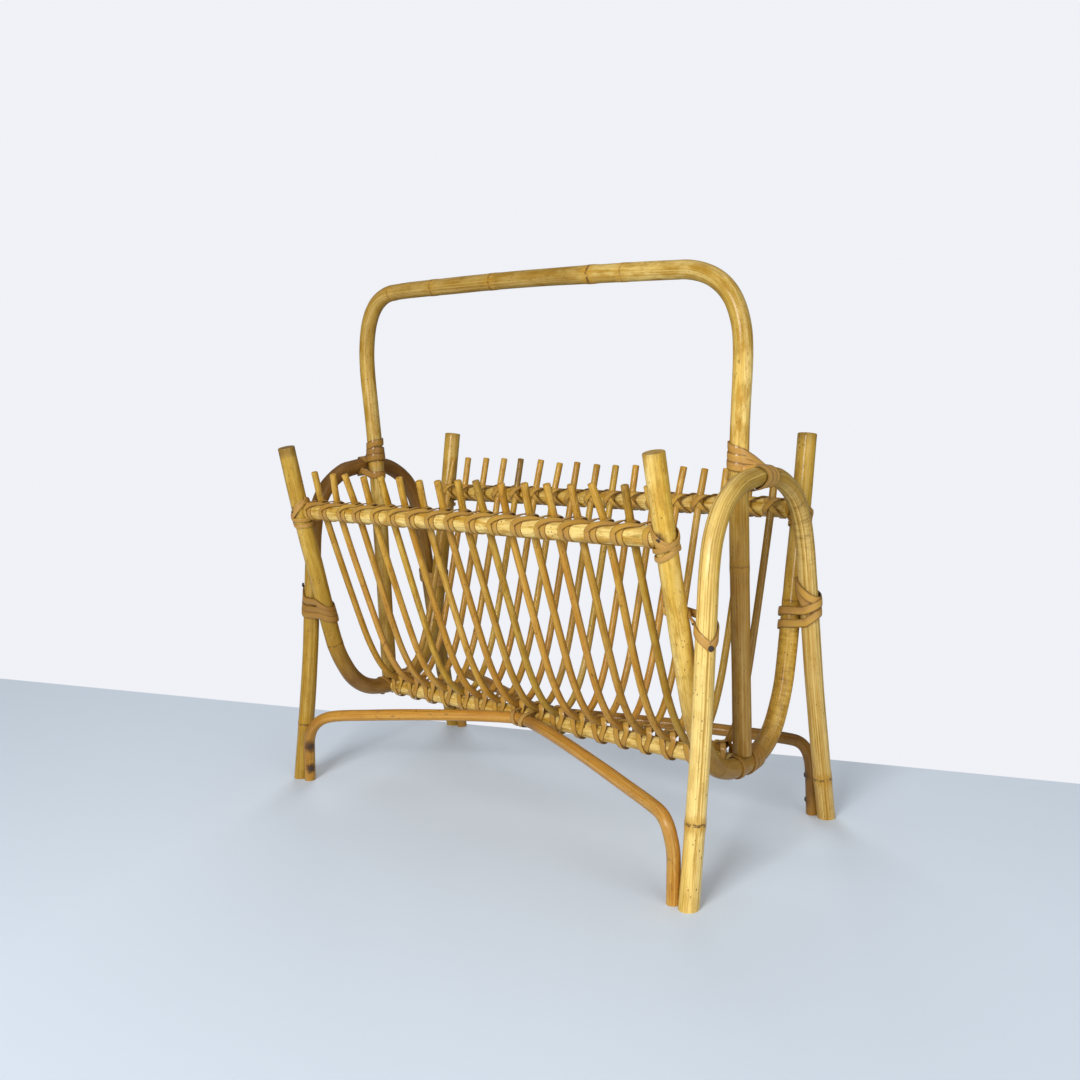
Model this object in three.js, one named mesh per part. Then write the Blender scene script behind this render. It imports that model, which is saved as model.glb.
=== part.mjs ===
// A magazine basket of bent rattan poles: a trough of thin V-shaped spindles in a pole frame
// with one long carrying handle, bound with flat strips of cane.
// Lengths are millimetres. X runs along the basket, Y from front to back and Z up.
// The origin lies on the floor, midway between the four feet.
import * as THREE from 'three';

// Fits
const seat = 0.3;
const turnGap = 0.8;
const slantSlack = 0.5;
const overlayGap = 0.7;

// End loops: the U-shaped poles whose ends are the four corner posts
const loopX = 200;
const loopDiameter = 15.2;
const loopTopY = 102.2;
const loopTopZ = 309;
const loopBottomZ = 69;

// Arch legs: the inverted U-shaped poles that stand on the floor, outside the loops
const archDiameter = 14.6;
const archClearance = 2.1;
const archFootInset = 3.8;
const archTopZ = 284.5;

// Handle
const handleDiameter = 14.2;
const handleLeanZ = 300;
const handleLean = 1;
const handleShoulderZ = 376;
const handleSpread = 5.4;
const handleLeftTopZ = 443.5;
const handleRightTopZ = 434;
const handleLeftCorner = 46;
const handleRightCorner = 60;

// Rails
const topRailDiameter = 15;
const topRailZ = 251;
const topRailInset = 3.6;
const bottomRailDiameter = 13.5;

// Spindles
const spindleCount = 17;
const spindleDiameter = 5.8;
const spindleEndInset = 18;
const spindleTipZ = 286;
const spindleLean = 0.3;
const spindleBendZ = 150;

// Braces
const braceDiameter = 10;
const braceCentreLift = 1.5;
const braceDrop = 9.5;
const braceShoulderInset = 18.4;
const braceShoulderDepthInset = 4.9;
const braceBendOutset = 0.2;
const braceBendZ = 58.5;
const braceBendInset = 1.4;
const braceShinZ = 36;
const braceShinDepthInset = 1.4;

// Cane strips
const stripWidth = 4.6;
const stripThickness = 1;
const tieWidth = 2.6;

// Turns of each lashing
const handleLashingTilt = Math.PI / 6;
const handleTurns = 2;
const handleLashingLift = 8.5;
const tieTurns = 2;
const legBandTilt = 4;
const postWrapHeight = 11;
const footWrapY = 21;
const footWrapNearY = 11.8;

// Nails
const nailDiameter = 3.2;
const nailHeight = 1.2;
const lowerNailZ = 12;
const upperNailZ = 33;

// Facets
const poleSides = 10;
const railSides = 12;
const spindleSides = 6;
const braceSides = 8;
const nailSides = 8;
const turnSteps = 12;

// Places that follow from the sizes
const loopRadius = loopDiameter / 2;
const archRadius = archDiameter / 2;
const handleRadius = handleDiameter / 2;
const topRailRadius = topRailDiameter / 2;
const bottomRailRadius = bottomRailDiameter / 2;
const spindleRadius = spindleDiameter / 2;
const braceRadius = braceDiameter / 2;
const archX = loopX + loopRadius + archClearance + archRadius;
const archFootY = loopTopY - archFootInset;
const braceShoulderY = archFootY - braceShoulderDepthInset;
const braceBendY = archFootY + braceBendOutset;
const braceShinY = archFootY - braceShinDepthInset;
const bottomRailZ = loopBottomZ;
const railEndX = loopX - loopRadius - seat;
const spindleEndX = loopX - spindleEndInset;
const spindlePitch = (2 * spindleEndX) / (spindleCount - 1);
const spindleBottomZ = bottomRailZ + bottomRailRadius + seat + spindleRadius;
const wrapPitch = stripWidth + turnGap;

// Outlines as shares: across and up, from the middle of the loop's bottom and from the arch's foot
const loopShares = [
  [0, 0], [0.1, 0.004], [0.215, 0.0125], [0.333, 0.035], [0.44, 0.075], [0.528, 0.133],
  [0.6, 0.2], [0.66, 0.296], [0.718, 0.4125], [0.785, 0.546], [0.856, 0.68], [1, 1],
];
const archShares = [
  [1, 0], [0.894, 0.21], [0.803, 0.415], [0.747, 0.58], [0.7, 0.715], [0.668, 0.8],
  [0.61, 0.875], [0.49, 0.94], [0.29, 0.986], [0.15, 0.996], [0, 1],
];
const bendShares = [0.25, 0.5, 0.7, 0.88];
const cornerShares = [0.16, 0.34, 0.5, 0.66, 0.84];
const topShares = [0, 0.25, 0.5, 0.75, 1];
const handleCrownShare = 0.008;
const braceRunShares = [0.04, 0.1, 0.25, 0.5, 0.75, 1];
const braceKneeShare = 0.06;
const braceBendShares = [0.2, 0.4, 0.6, 0.8, 1];
const leastStepShare = 0.4;

// Materials, one for each piece so that each can be told from the next
const colours = {
  pole: 0xd9b765,
  arch: 0xcaa85a,
  handle: 0xdcbd6c,
  rail: 0xc9a659,
  spindle: 0xb88945,
  brace: 0xa8682f,
  strip: 0xa9773c,
  nail: 0x4a3b2c,
};

function material(kind) {
  const metal = kind === 'nail';
  const roughness = metal ? 0.5 : 0.6;
  const metalness = metal ? 0.8 : 0;
  return new THREE.MeshStandardMaterial({ color: colours[kind], roughness, metalness });
}

const basket = new THREE.Group();

function addPiece(name, geometry, kind) {
  const mesh = new THREE.Mesh(geometry, material(kind));
  mesh.name = name;
  basket.add(mesh);
  return mesh;
}

function at(x, y, z) {
  return new THREE.Vector3(x, y, z);
}

// Round poles, with one ring of facets at each point of the path
function roundSection(radius, sides) {
  const section = new THREE.Shape();
  for (let i = 0; i < sides; i += 1) {
    const angle = (i / sides) * Math.PI * 2;
    const x = Math.cos(angle) * radius;
    const y = Math.sin(angle) * radius;
    if (i === 0) section.moveTo(x, y);
    else section.lineTo(x, y);
  }
  section.closePath();
  return section;
}

function poleGeometry(points, radius, sides) {
  const path = new THREE.CatmullRomCurve3(points, false, 'centripetal');
  path.getUtoTmapping = (u) => u;
  const steps = points.length - 1;
  return new THREE.ExtrudeGeometry(roundSection(radius, sides), { steps, extrudePath: path });
}

// Level the cut ends that stand on the floor
function levelFeet(geometry, radius) {
  const place = geometry.attributes.position;
  for (let i = 0; i < place.count; i += 1) {
    if (Math.abs(place.getZ(i)) < radius) place.setZ(i, 0);
  }
  geometry.computeVertexNormals();
  return geometry;
}

// Mirror half an outline in Y and join the halves into one path
function bothSides(half) {
  const mirrored = half.slice(0, -1).map((p) => at(p.x, -p.y, p.z));
  return [...half, ...mirrored.reverse()];
}

function loopHalf(x) {
  const rise = loopTopZ - loopBottomZ;
  const half = loopShares.map(([across, up]) => at(x, across * loopTopY, loopBottomZ + up * rise));
  return half.reverse();
}

function archHalf(x) {
  return archShares.map(([across, up]) => at(x, across * archFootY, up * archTopZ));
}

// How far out in Y a half outline lies at a height
function outAtHeight(half, z) {
  for (let i = 1; i < half.length; i += 1) {
    const a = half[i - 1];
    const b = half[i];
    if ((a.z - z) * (b.z - z) <= 0) return a.y + ((b.y - a.y) * (z - a.z)) / (b.z - a.z);
  }
  return half[0].y;
}

// How high a half outline lies at a distance out in Y
function heightAtOut(half, y) {
  for (let i = 1; i < half.length; i += 1) {
    const a = half[i - 1];
    const b = half[i];
    if ((a.y - y) * (b.y - y) <= 0) return a.z + ((b.z - a.z) * (y - a.y)) / (b.y - a.y);
  }
  return half[half.length - 1].z;
}

const loopOutline = loopHalf(loopX);
const archOutline = archHalf(archX);
const postYAtRail = outAtHeight(loopOutline, topRailZ);
const topRailY = postYAtRail - topRailInset;

// The height where an arch leg and a loop cross, found by halving
function crossingHeight() {
  let low = loopBottomZ + loopDiameter;
  let high = topRailZ;
  for (let i = 0; i < 40; i += 1) {
    const middle = (low + high) / 2;
    if (outAtHeight(loopOutline, middle) < outAtHeight(archOutline, middle)) low = middle;
    else high = middle;
  }
  return (low + high) / 2;
}

const crossingZ = crossingHeight();

// Frame poles
function addLoop(name, x) {
  addPiece(name, poleGeometry(bothSides(loopHalf(x)), loopRadius, poleSides), 'pole');
}

function addArch(name, x) {
  const geometry = poleGeometry(bothSides(archHalf(x)), archRadius, poleSides);
  addPiece(name, levelFeet(geometry, archRadius), 'arch');
}

function bend(from, knee, to, shares) {
  const curve = new THREE.QuadraticBezierCurve3(from, knee, to);
  return shares.map((share) => curve.getPoint(share));
}

function handlePoints() {
  const footZ = loopBottomZ + loopRadius + seat;
  const shoulderX = loopX + handleSpread;
  const leanX = loopX + handleLean;
  const left = [at(-loopX, 0, footZ), at(-leanX, 0, handleLeanZ), at(-shoulderX, 0, handleShoulderZ)];
  const right = [at(shoulderX, 0, handleShoulderZ), at(leanX, 0, handleLeanZ), at(loopX, 0, footZ)];
  const topLeft = at(-shoulderX + handleLeftCorner, 0, handleLeftTopZ);
  const topRight = at(shoulderX - handleRightCorner, 0, handleRightTopZ);
  const crown = (topRight.x - topLeft.x) * handleCrownShare;
  const top = topShares.map((share) => {
    const point = topLeft.clone().lerp(topRight, share);
    point.z += crown * Math.sin(Math.PI * share);
    return point;
  });
  const leftKnee = at(-shoulderX, 0, handleLeftTopZ);
  const rightKnee = at(shoulderX, 0, handleRightTopZ);
  const leftBend = bend(left[left.length - 1], leftKnee, topLeft, cornerShares);
  const rightBend = bend(topRight, rightKnee, right[0], cornerShares);
  return [...left, ...leftBend, ...top, ...rightBend, ...right];
}

// Rails
function railGeometry(y, z, radius) {
  const points = [at(-railEndX, y, z), at(railEndX, y, z)];
  return poleGeometry(points, radius, railSides);
}

// Spindles: straight past the top rail, then bent into a rounded V over the bottom rail
function spindleLine() {
  const tilt = Math.atan(spindleLean);
  const reach = topRailRadius + seat + spindleRadius;
  const seatY = topRailY - Math.cos(tilt) * reach;
  const seatZ = topRailZ + Math.sin(tilt) * reach;
  return { tilt, seatY, seatZ, outAt: (z) => seatY + (z - seatZ) * spindleLean };
}

const spindle = spindleLine();

function spindleHalf(x) {
  const tip = at(x, spindle.outAt(spindleTipZ), spindleTipZ);
  const held = at(x, spindle.seatY, spindle.seatZ);
  const start = at(x, spindle.outAt(spindleBendZ), spindleBendZ);
  const knee = at(x, spindle.outAt(spindleBottomZ), spindleBottomZ);
  const bottom = at(x, 0, spindleBottomZ);
  return [tip, held, start, ...bend(start, knee, bottom, bendShares), bottom];
}

function spindleX(index) {
  return -spindleEndX + index * spindlePitch;
}

// Braces: from foot to foot on one side of the basket, drawn in to the bottom rail at the middle
const braceFootX = archX - archRadius - seat - braceRadius;
const braceCentreX = -spindlePitch / 2;
const bindingSteps = 8;
const boundRailRadius = stationReach(bottomRailRadius, bindingSteps) + stripThickness / 2;
const braceCentreY = boundRailRadius + seat + braceRadius;
const braceCentreZ = bottomRailZ + braceCentreLift;

function braceHalf(side, depth) {
  const shoulder = at(side * (archX - braceShoulderInset - archRadius), braceShoulderY, braceCentreZ);
  const full = Math.hypot(1, braceKneeShare) - braceKneeShare;
  const run = braceRunShares.map((share) => {
    const out = (Math.hypot(share, braceKneeShare) - braceKneeShare) / full;
    const x = braceCentreX + (shoulder.x - braceCentreX) * share;
    const y = braceCentreY + (shoulder.y - braceCentreY) * out;
    return at(x, y * depth, braceCentreZ - braceDrop * share * share);
  });
  const shin = at(side * braceFootX, braceShinY * depth, braceShinZ);
  const knee = at(side * (braceFootX - braceBendInset), braceBendY * depth, braceBendZ);
  const foot = at(side * braceFootX, archFootY * depth, 0);
  return [...run, ...bend(run[run.length - 1], knee, shin, braceBendShares), foot];
}

function addBrace(name, depth) {
  const centre = at(braceCentreX, braceCentreY * depth, braceCentreZ);
  const points = [...braceHalf(-1, depth).reverse(), centre, ...braceHalf(1, depth)];
  addPiece(name, levelFeet(poleGeometry(points, braceRadius, braceSides), braceRadius), 'brace');
}

// Flat strips: a four-sided tube through stations, each with the direction that its face turns to
function stripRings(stations, width) {
  return stations.map((station, i) => {
    const before = stations[Math.max(i - 1, 0)].point;
    const after = stations[Math.min(i + 1, stations.length - 1)].point;
    const along = after.clone().sub(before).normalize();
    const across = station.face.clone().cross(along).normalize();
    const out = along.clone().cross(across).normalize();
    const corners = [[1, 1], [-1, 1], [-1, -1], [1, -1]];
    return corners.map(([a, b]) => {
      const point = station.point.clone();
      point.addScaledVector(across, (a * width) / 2);
      return point.addScaledVector(out, (b * stripThickness) / 2);
    });
  });
}

// The least distance between parts of a strip that lie more than half a turn apart
function leastGap(rings) {
  const samples = [];
  rings.forEach((ring, i) => {
    ring.forEach((corner, k) => {
      const next = ring[(k + 1) % ring.length];
      samples.push({ i, point: corner }, { i, point: corner.clone().lerp(next, 1 / 2) });
      if (i + 1 < rings.length) samples.push({ i, point: corner.clone().lerp(rings[i + 1][k], 1 / 2) });
    });
  });
  let least = Infinity;
  for (const a of samples) {
    for (const b of samples) {
      if (b.i - a.i > turnSteps / 2) least = Math.min(least, a.point.distanceTo(b.point));
    }
  }
  return least;
}

function stripGeometry(stations, width) {
  const rings = stripRings(stations, width);
  const positions = [];
  const index = [];
  rings.forEach((ring) => ring.forEach((point) => positions.push(point.x, point.y, point.z)));
  for (let i = 0; i + 1 < rings.length; i += 1) {
    for (let k = 0; k < 4; k += 1) {
      const a = i * 4 + k;
      const b = i * 4 + ((k + 1) % 4);
      index.push(a, b, b + 4, a, b + 4, a + 4);
    }
  }
  const last = (rings.length - 1) * 4;
  index.push(0, 2, 1, 0, 3, 2, last, last + 1, last + 2, last, last + 2, last + 3);
  const geometry = new THREE.BufferGeometry();
  geometry.setAttribute('position', new THREE.Float32BufferAttribute(positions, 3));
  geometry.setIndex(index);
  geometry.computeVertexNormals();
  return { geometry, gap: leastGap(rings) };
}

function addStrip(name, stations, width) {
  const { geometry, gap } = stripGeometry(stations, width);
  console.log(`${name}: least gap to itself ${gap.toFixed(2)} mm`);
  addPiece(name, geometry, 'strip');
}

// How far from a pole's axis a strip's stations lie, so that its straight facets clear the pole
function stationReach(radius, steps) {
  return (radius + seat + stripThickness / 2) / Math.cos(Math.PI / steps);
}

// A binding: one turn for each spindle, crossing it slantwise on the side where it lies
const besideSpindle = spindleRadius + 2 * seat + stripWidth / 2;
const bindingOuterShares = [[-0.5, -1, 0], [-0.43, -Math.SQRT1_2, Math.SQRT1_2], [-0.36, 0, 1]];
const besideRiseShare = 0.98;
const shoulderShare = 0.9;
const crossShare = 0.55;
const crossRiseShare = 0.48;

function bindingTurn(railRadius, riseAt) {
  const reach = stationReach(railRadius, bindingSteps);
  const spindleFace = railRadius + seat + spindleDiameter;
  const over = spindleFace + seat + stripThickness / 2;
  const outer = bindingOuterShares.map(([a, u, v]) => [a * spindlePitch, u * reach, v * reach]);
  const beside = [-besideSpindle - seat, railRadius, reach * besideRiseShare];
  const shoulderOut = reach * shoulderShare;
  const slantOut = reach * crossRiseShare;
  const shoulder = [-besideSpindle, over - spindleRadius / 2 + riseAt(shoulderOut), shoulderOut];
  const slant = [-besideSpindle * crossShare, over + riseAt(slantOut), slantOut];
  const first = [...outer, beside, shoulder, slant];
  const mirrored = first.slice(1).map(([a, u, v]) => [-a, u, -v]);
  return [...first, [0, over + riseAt(0), 0], ...mirrored.reverse()];
}

// The binding's frame has u towards the spindles and v along them
function bindingStations(centre, u, v, railRadius, riseAt) {
  const turn = bindingTurn(railRadius, riseAt);
  const stations = [];
  for (let i = 0; i < spindleCount; i += 1) {
    turn.forEach(([a, b, c], k) => {
      const early = i === 0 && k < 3;
      const late = i === spindleCount - 1 && k > turn.length - 3;
      if (early || late) return;
      const point = centre.clone().addScaledVector(u, b).addScaledVector(v, c);
      point.x = spindleX(i) + a;
      const face = u.clone().multiplyScalar(b).addScaledVector(v, c).normalize();
      if (b > railRadius && Math.abs(a) < besideSpindle * (crossShare + crossRiseShare) / 2 + seat) {
        face.copy(u);
      }
      stations.push({ point, face });
    });
  }
  return stations;
}

function addRailBinding(name, depth) {
  const u = at(0, -Math.cos(spindle.tilt) * depth, Math.sin(spindle.tilt));
  const v = at(0, Math.sin(spindle.tilt) * depth, Math.cos(spindle.tilt));
  const centre = at(0, topRailY * depth, topRailZ);
  addStrip(name, bindingStations(centre, u, v, topRailRadius, () => 0), stripWidth);
}

// How far a bent spindle has risen under the outer edge of a strip that crosses it
function bottomRiseAt(out) {
  return heightAtOut(spindleHalf(0), out + stripWidth / 2) - spindleBottomZ;
}

// A direction with the part that runs along a pole taken away
function squareTo(direction, run) {
  const part = direction.dot(run) / run.lengthSq();
  return direction.clone().addScaledVector(run, -part).normalize();
}

// Where a band lies on a pole, in the plane through a place on the band's axis. The direction
// from the axis lies in that plane, and the pole is given by a point, its run and its radius.
function seatOnPole(pole, place, w, direction) {
  const runAcross = pole.run.dot(w);
  const centre = pole.point.clone();
  centre.addScaledVector(pole.run, place.clone().sub(pole.point).dot(w) / runAcross);
  const leanOut = direction.clone().addScaledVector(w, -direction.dot(pole.run) / runAcross);
  const face = squareTo(leanOut, pole.run);
  const out = face.clone().multiplyScalar(stationReach(pole.radius, turnSteps));
  const point = centre.add(out).addScaledVector(pole.run, -out.dot(w) / runAcross);
  return { point, face, support: point.clone().sub(place).dot(direction) };
}

// The turn, found by halving, where a band leaves one pole and reaches the next
function swapTurn(seatsAt, from, to, held) {
  let low = from;
  let high = to;
  for (let i = 0; i < 20; i += 1) {
    const middle = (low + high) / 2;
    if (seatsAt(middle).outermost === held) low = middle;
    else high = middle;
  }
  return high;
}

// A band: turns round the outside of its poles, with a place along its axis for each turn
function bandStations({ origin, u, v, w, poles, turns, alongAt, first = 0 }) {
  const seatsAt = (turn) => {
    const angle = first + turn * Math.PI * 2;
    const place = origin.clone().addScaledVector(w, alongAt(turn, angle));
    const direction = u.clone().multiplyScalar(Math.cos(angle)).addScaledVector(v, Math.sin(angle));
    const seats = poles(place).map((pole) => seatOnPole(pole, place, w, direction));
    const supports = seats.map((seat) => seat.support);
    return { turn, seats, outermost: supports.indexOf(Math.max(...supports)) };
  };
  const steps = Math.ceil(turns * turnSteps);
  const stations = [];
  let last = seatsAt(0);
  stations.push({ ...last.seats[last.outermost], turn: 0 });
  for (let i = 1; i <= steps; i += 1) {
    const next = seatsAt((i / steps) * turns);
    if (next.outermost !== last.outermost) {
      const swap = seatsAt(swapTurn(seatsAt, last.turn, next.turn, last.outermost));
      const crowded = swap.turn - last.turn < leastStepShare / turnSteps && stations.length > 1;
      if (crowded) stations.pop();
      stations.push({ ...swap.seats[last.outermost], turn: swap.turn });
      stations.push({ ...swap.seats[next.outermost], turn: swap.turn });
      last = next;
      if (next.turn - swap.turn < leastStepShare / turnSteps && i < steps) continue;
    }
    stations.push({ ...next.seats[next.outermost], turn: next.turn });
    last = next;
  }
  return stations;
}

function evenTurns(turns, pitch) {
  return (turn) => pitch * (turn - turns / 2);
}

// A value read from a table of turns and values, straight from one row to the next
function fromTable(table, turn) {
  const next = Math.max(1, table.findIndex((row) => row[0] >= turn));
  const [a, from] = table[next - 1];
  const [b, to] = table[next];
  return from + ((to - from) * (turn - a)) / (b - a);
}

// The part of an outline near a height, as a pole for a band
function poleNear(outline, depth, radius, z) {
  const below = z - stripWidth;
  const above = z + stripWidth;
  const point = at(0, depth * outAtHeight(outline, z), z);
  const rise = depth * (outAtHeight(outline, above) - outAtHeight(outline, below));
  return { point, run: at(0, rise, above - below), radius: radius + slantSlack };
}

// How high above the crossing a leg's band lies at an angle round it
function bandRise(legBand, riseShare, angle) {
  return riseShare * wrapPitch + legBand.tiltShare * legBandTilt * Math.cos(angle);
}

// Lashing of an arch leg to a loop where they cross
function addCrossingLashing({ name, side, depth, legBand }) {
  const poles = (place) => {
    const loop = poleNear(loopOutline, depth, loopRadius, place.z);
    const arch = poleNear(archOutline, depth, archRadius, place.z);
    loop.point.x = side * loopX;
    arch.point.x = side * archX;
    return [loop, arch];
  };
  const stations = bandStations({
    origin: at((side * (loopX + archX)) / 2, depth * outAtHeight(archOutline, crossingZ), crossingZ),
    u: at(side, 0, 0),
    v: at(0, depth, 0),
    w: at(0, 0, 1),
    poles,
    turns: legBand.turns,
    alongAt: (turn, angle) => bandRise(legBand, fromTable(legBand.riseShares, turn), angle),
    first: legBand.firstShare * Math.PI * 2,
  });
  addStrip(`${name}_leg_lashing`, stations, stripWidth);
}

// Slanting lashing of the handle to the crown of an arch
function handleXAt(z) {
  return loopX + (handleLean * (z - loopBottomZ)) / (handleLeanZ - loopBottomZ);
}

function addHandleLashing(name, side) {
  const handleX = handleXAt(archTopZ);
  const across = at(side, 0, -Math.tan(handleLashingTilt)).normalize();
  const up = across.clone().cross(at(0, side, 0));
  const w = at(0, 1, 0).add(up).normalize();
  const v = at(0, 1, 0).sub(up).normalize();
  const poles = () => [
    { point: at(side * handleX, 0, archTopZ), run: at(0, 0, 1), radius: handleRadius + slantSlack },
    { point: at(side * archX, 0, archTopZ), run: at(0, 1, 0), radius: archRadius + slantSlack },
  ];
  const stations = bandStations({
    origin: at((side * (handleX + archX)) / 2, 0, archTopZ + handleLashingLift),
    u: across,
    v,
    w,
    poles,
    turns: handleTurns,
    alongAt: evenTurns(handleTurns, wrapPitch),
    first: Math.PI,
  });
  stations.forEach(({ point }) => {
    const share = THREE.MathUtils.clamp((side * point.x - handleX) / (archX - handleX), 0, 1);
    point.z -= share * (archTopZ - heightAtOut(archOutline, Math.abs(point.y)));
  });
  addStrip(name, stations, stripWidth);
}

// Tie of both braces to the bottom rail
function addBraceTie(name) {
  const run = at(1, 0, 0);
  const poles = () => [
    { point: at(0, 0, bottomRailZ), run, radius: boundRailRadius },
    { point: at(0, -braceCentreY, braceCentreZ), run, radius: braceRadius + seat },
    { point: at(0, braceCentreY, braceCentreZ), run, radius: braceRadius + seat },
  ];
  const stations = bandStations({
    origin: at(braceCentreX, 0, bottomRailZ),
    u: at(0, 1, 0),
    v: at(0, 0, 1),
    w: run,
    poles,
    turns: tieTurns,
    alongAt: evenTurns(tieTurns, tieWidth + turnGap),
    first: -Math.PI / 2,
  });
  addStrip(name, stations, tieWidth);
}

// Crossed lashing of a post over the end of its top rail: down past the rail, then up over itself
function addPostLashing({ name, side, depth }) {
  const lean = Math.atan2(loopTopY - postYAtRail, loopTopZ - topRailZ);
  const up = at(0, Math.sin(lean) * depth, Math.cos(lean));
  const out = at(0, Math.cos(lean) * depth, -Math.sin(lean));
  const inward = at(-side, 0, 0);
  const origin = at(side * loopX, postYAtRail * depth, topRailZ);
  const under = stationReach(loopRadius, turnSteps);
  const over = (under + stripThickness + overlayGap) / Math.cos(Math.PI / turnSteps);
  const stations = [];
  for (let i = 0; i <= 2 * turnSteps; i += 1) {
    const angle = (i / turnSteps) * Math.PI * 2;
    const blend = THREE.MathUtils.smoothstep(i / turnSteps, 1 / 2, 1);
    const reach = i < turnSteps ? under : under + (over - under) * Math.min(1, blend);
    const face = inward.clone().multiplyScalar(Math.cos(angle)).addScaledVector(out, Math.sin(angle));
    const point = origin.clone().addScaledVector(face, reach);
    point.addScaledVector(up, postWrapHeight * Math.cos(angle / 2));
    stations.push({ point, face });
  }
  addStrip(`${name}_post_lashing`, stations, stripWidth);
}

// Lashing along a loop's bottom, behind the handle's foot and then, crossing below, before it
const footWrapSteps = [0, 19, 27, 48];

function footWrapAt(step) {
  const places = [footWrapY, footWrapNearY, -footWrapNearY, -footWrapY];
  for (let i = 1; i < places.length; i += 1) {
    if (step <= footWrapSteps[i]) {
      const share = (step - footWrapSteps[i - 1]) / (footWrapSteps[i] - footWrapSteps[i - 1]);
      return places[i - 1] + (places[i] - places[i - 1]) * share;
    }
  }
  return places[places.length - 1];
}

function addFootLashing(name, side) {
  const stations = [];
  for (let i = 0; i <= footWrapSteps[footWrapSteps.length - 1]; i += 1) {
    const turn = i / turnSteps;
    const y = footWrapAt(i);
    const z = heightAtOut(loopOutline, Math.abs(y));
    const angle = turn * Math.PI * 2 - Math.PI;
    const rise = heightAtOut(loopOutline, Math.abs(y) + stripWidth) - z;
    const run = at(0, stripWidth, rise * Math.sign(y));
    const face = squareTo(at(side * Math.sin(angle), 0, Math.cos(angle)), run);
    const point = at(side * loopX, y, z);
    point.addScaledVector(face, stationReach(loopRadius + seat, turnSteps));
    stations.push({ point, face });
  }
  addStrip(name, stations, stripWidth);
}

// Nails: round heads, each standing just clear of the piece that it holds
function nailHead(place, direction) {
  const head = new THREE.CylinderGeometry(nailDiameter / 2, nailDiameter / 2, nailHeight, nailSides);
  const turn = new THREE.Quaternion().setFromUnitVectors(at(0, 1, 0), direction);
  head.applyQuaternion(turn);
  const centre = place.clone().addScaledVector(direction, seat + nailHeight / 2);
  head.translate(centre.x, centre.y, centre.z);
  return head;
}

// Each corner, with the band on its leg: the share of a turn where it starts, its rise above the
// crossing at some of its turns in shares of the pitch, and the place of its nail
const corners = [
  {
    name: 'front_left',
    side: -1,
    depth: -1,
    legBand: { turns: 2.5, tiltShare: 1, firstShare: 0.08, riseShares: [[0, 1.5], [0.5, -1], [2.5, -3.1]] },
    nailTurnShare: 0.1,
    nailRiseShare: 1.4,
  },
  {
    name: 'front_right',
    side: 1,
    depth: -1,
    legBand: {
      turns: 0.93,
      tiltShare: 0,
      firstShare: 0.085,
      riseShares: [[0, 1.9], [0.2, 3.9], [0.46, 4.5], [0.73, 3.9], [0.93, 1.9]],
    },
    nailTurnShare: 0.05,
    nailRiseShare: 1.65,
  },
  {
    name: 'rear_left',
    side: -1,
    depth: 1,
    legBand: { turns: 2, tiltShare: 1, firstShare: 0.08, riseShares: [[0, 0.6], [2, -1.5]] },
    nailTurnShare: 0.1,
    nailRiseShare: 0.6,
  },
  {
    name: 'rear_right',
    side: 1,
    depth: 1,
    legBand: {
      turns: 3,
      tiltShare: 1,
      firstShare: 0.5,
      riseShares: [[0, 5.55], [0.5, 3.05], [1, 2.4], [3, 0.25]],
    },
    nailTurnShare: 0.115,
    nailRiseShare: 2.95,
  },
];

function braceNail({ side, depth }, z) {
  const share = z / braceShinZ;
  const y = archFootY + (braceShinY - archFootY) * share;
  return nailHead(at(side * (braceFootX - braceRadius), y * depth, z), at(-side, 0, 0));
}

function legNail({ side, depth, legBand, nailTurnShare, nailRiseShare }) {
  const angle = nailTurnShare * Math.PI * 2;
  const z = crossingZ + bandRise(legBand, nailRiseShare, angle);
  const pole = poleNear(archOutline, depth, archRadius, z);
  const face = squareTo(at(side * Math.cos(angle), depth * Math.sin(angle), 0), pole.run);
  pole.point.x = side * archX;
  const reach = stationReach(pole.radius, turnSteps) + stripThickness / 2;
  return nailHead(pole.point.addScaledVector(face, reach), face);
}

function postNail({ side, depth }) {
  return nailHead(at(side * loopX, (postYAtRail + loopRadius) * depth, topRailZ), at(0, depth, 0));
}

// Assembly
addPiece('handle', poleGeometry(handlePoints(), handleRadius, poleSides), 'handle');
addArch('left_arch_legs', -archX);
addArch('right_arch_legs', archX);
addLoop('left_end_loop', -loopX);
addLoop('right_end_loop', loopX);
addPiece('front_top_rail', railGeometry(-topRailY, topRailZ, topRailRadius), 'rail');
addPiece('rear_top_rail', railGeometry(topRailY, topRailZ, topRailRadius), 'rail');
addPiece('bottom_rail', railGeometry(0, bottomRailZ, bottomRailRadius), 'rail');
for (let i = 0; i < spindleCount; i += 1) {
  const name = `spindle_${String(i + 1).padStart(2, '0')}`;
  addPiece(name, poleGeometry(bothSides(spindleHalf(spindleX(i))), spindleRadius, spindleSides), 'spindle');
}
addBrace('front_brace', -1);
addBrace('rear_brace', 1);
addRailBinding('front_rail_binding', -1);
addRailBinding('rear_rail_binding', 1);
addStrip(
  'bottom_rail_binding',
  bindingStations(at(0, 0, bottomRailZ), at(0, 0, 1), at(0, 1, 0), bottomRailRadius, bottomRiseAt),
  stripWidth,
);
corners.forEach((corner) => {
  addPostLashing(corner);
  addCrossingLashing(corner);
});
addHandleLashing('left_handle_lashing', -1);
addHandleLashing('right_handle_lashing', 1);
addFootLashing('left_foot_lashing', -1);
addFootLashing('right_foot_lashing', 1);
addBraceTie('brace_tie');
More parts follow.
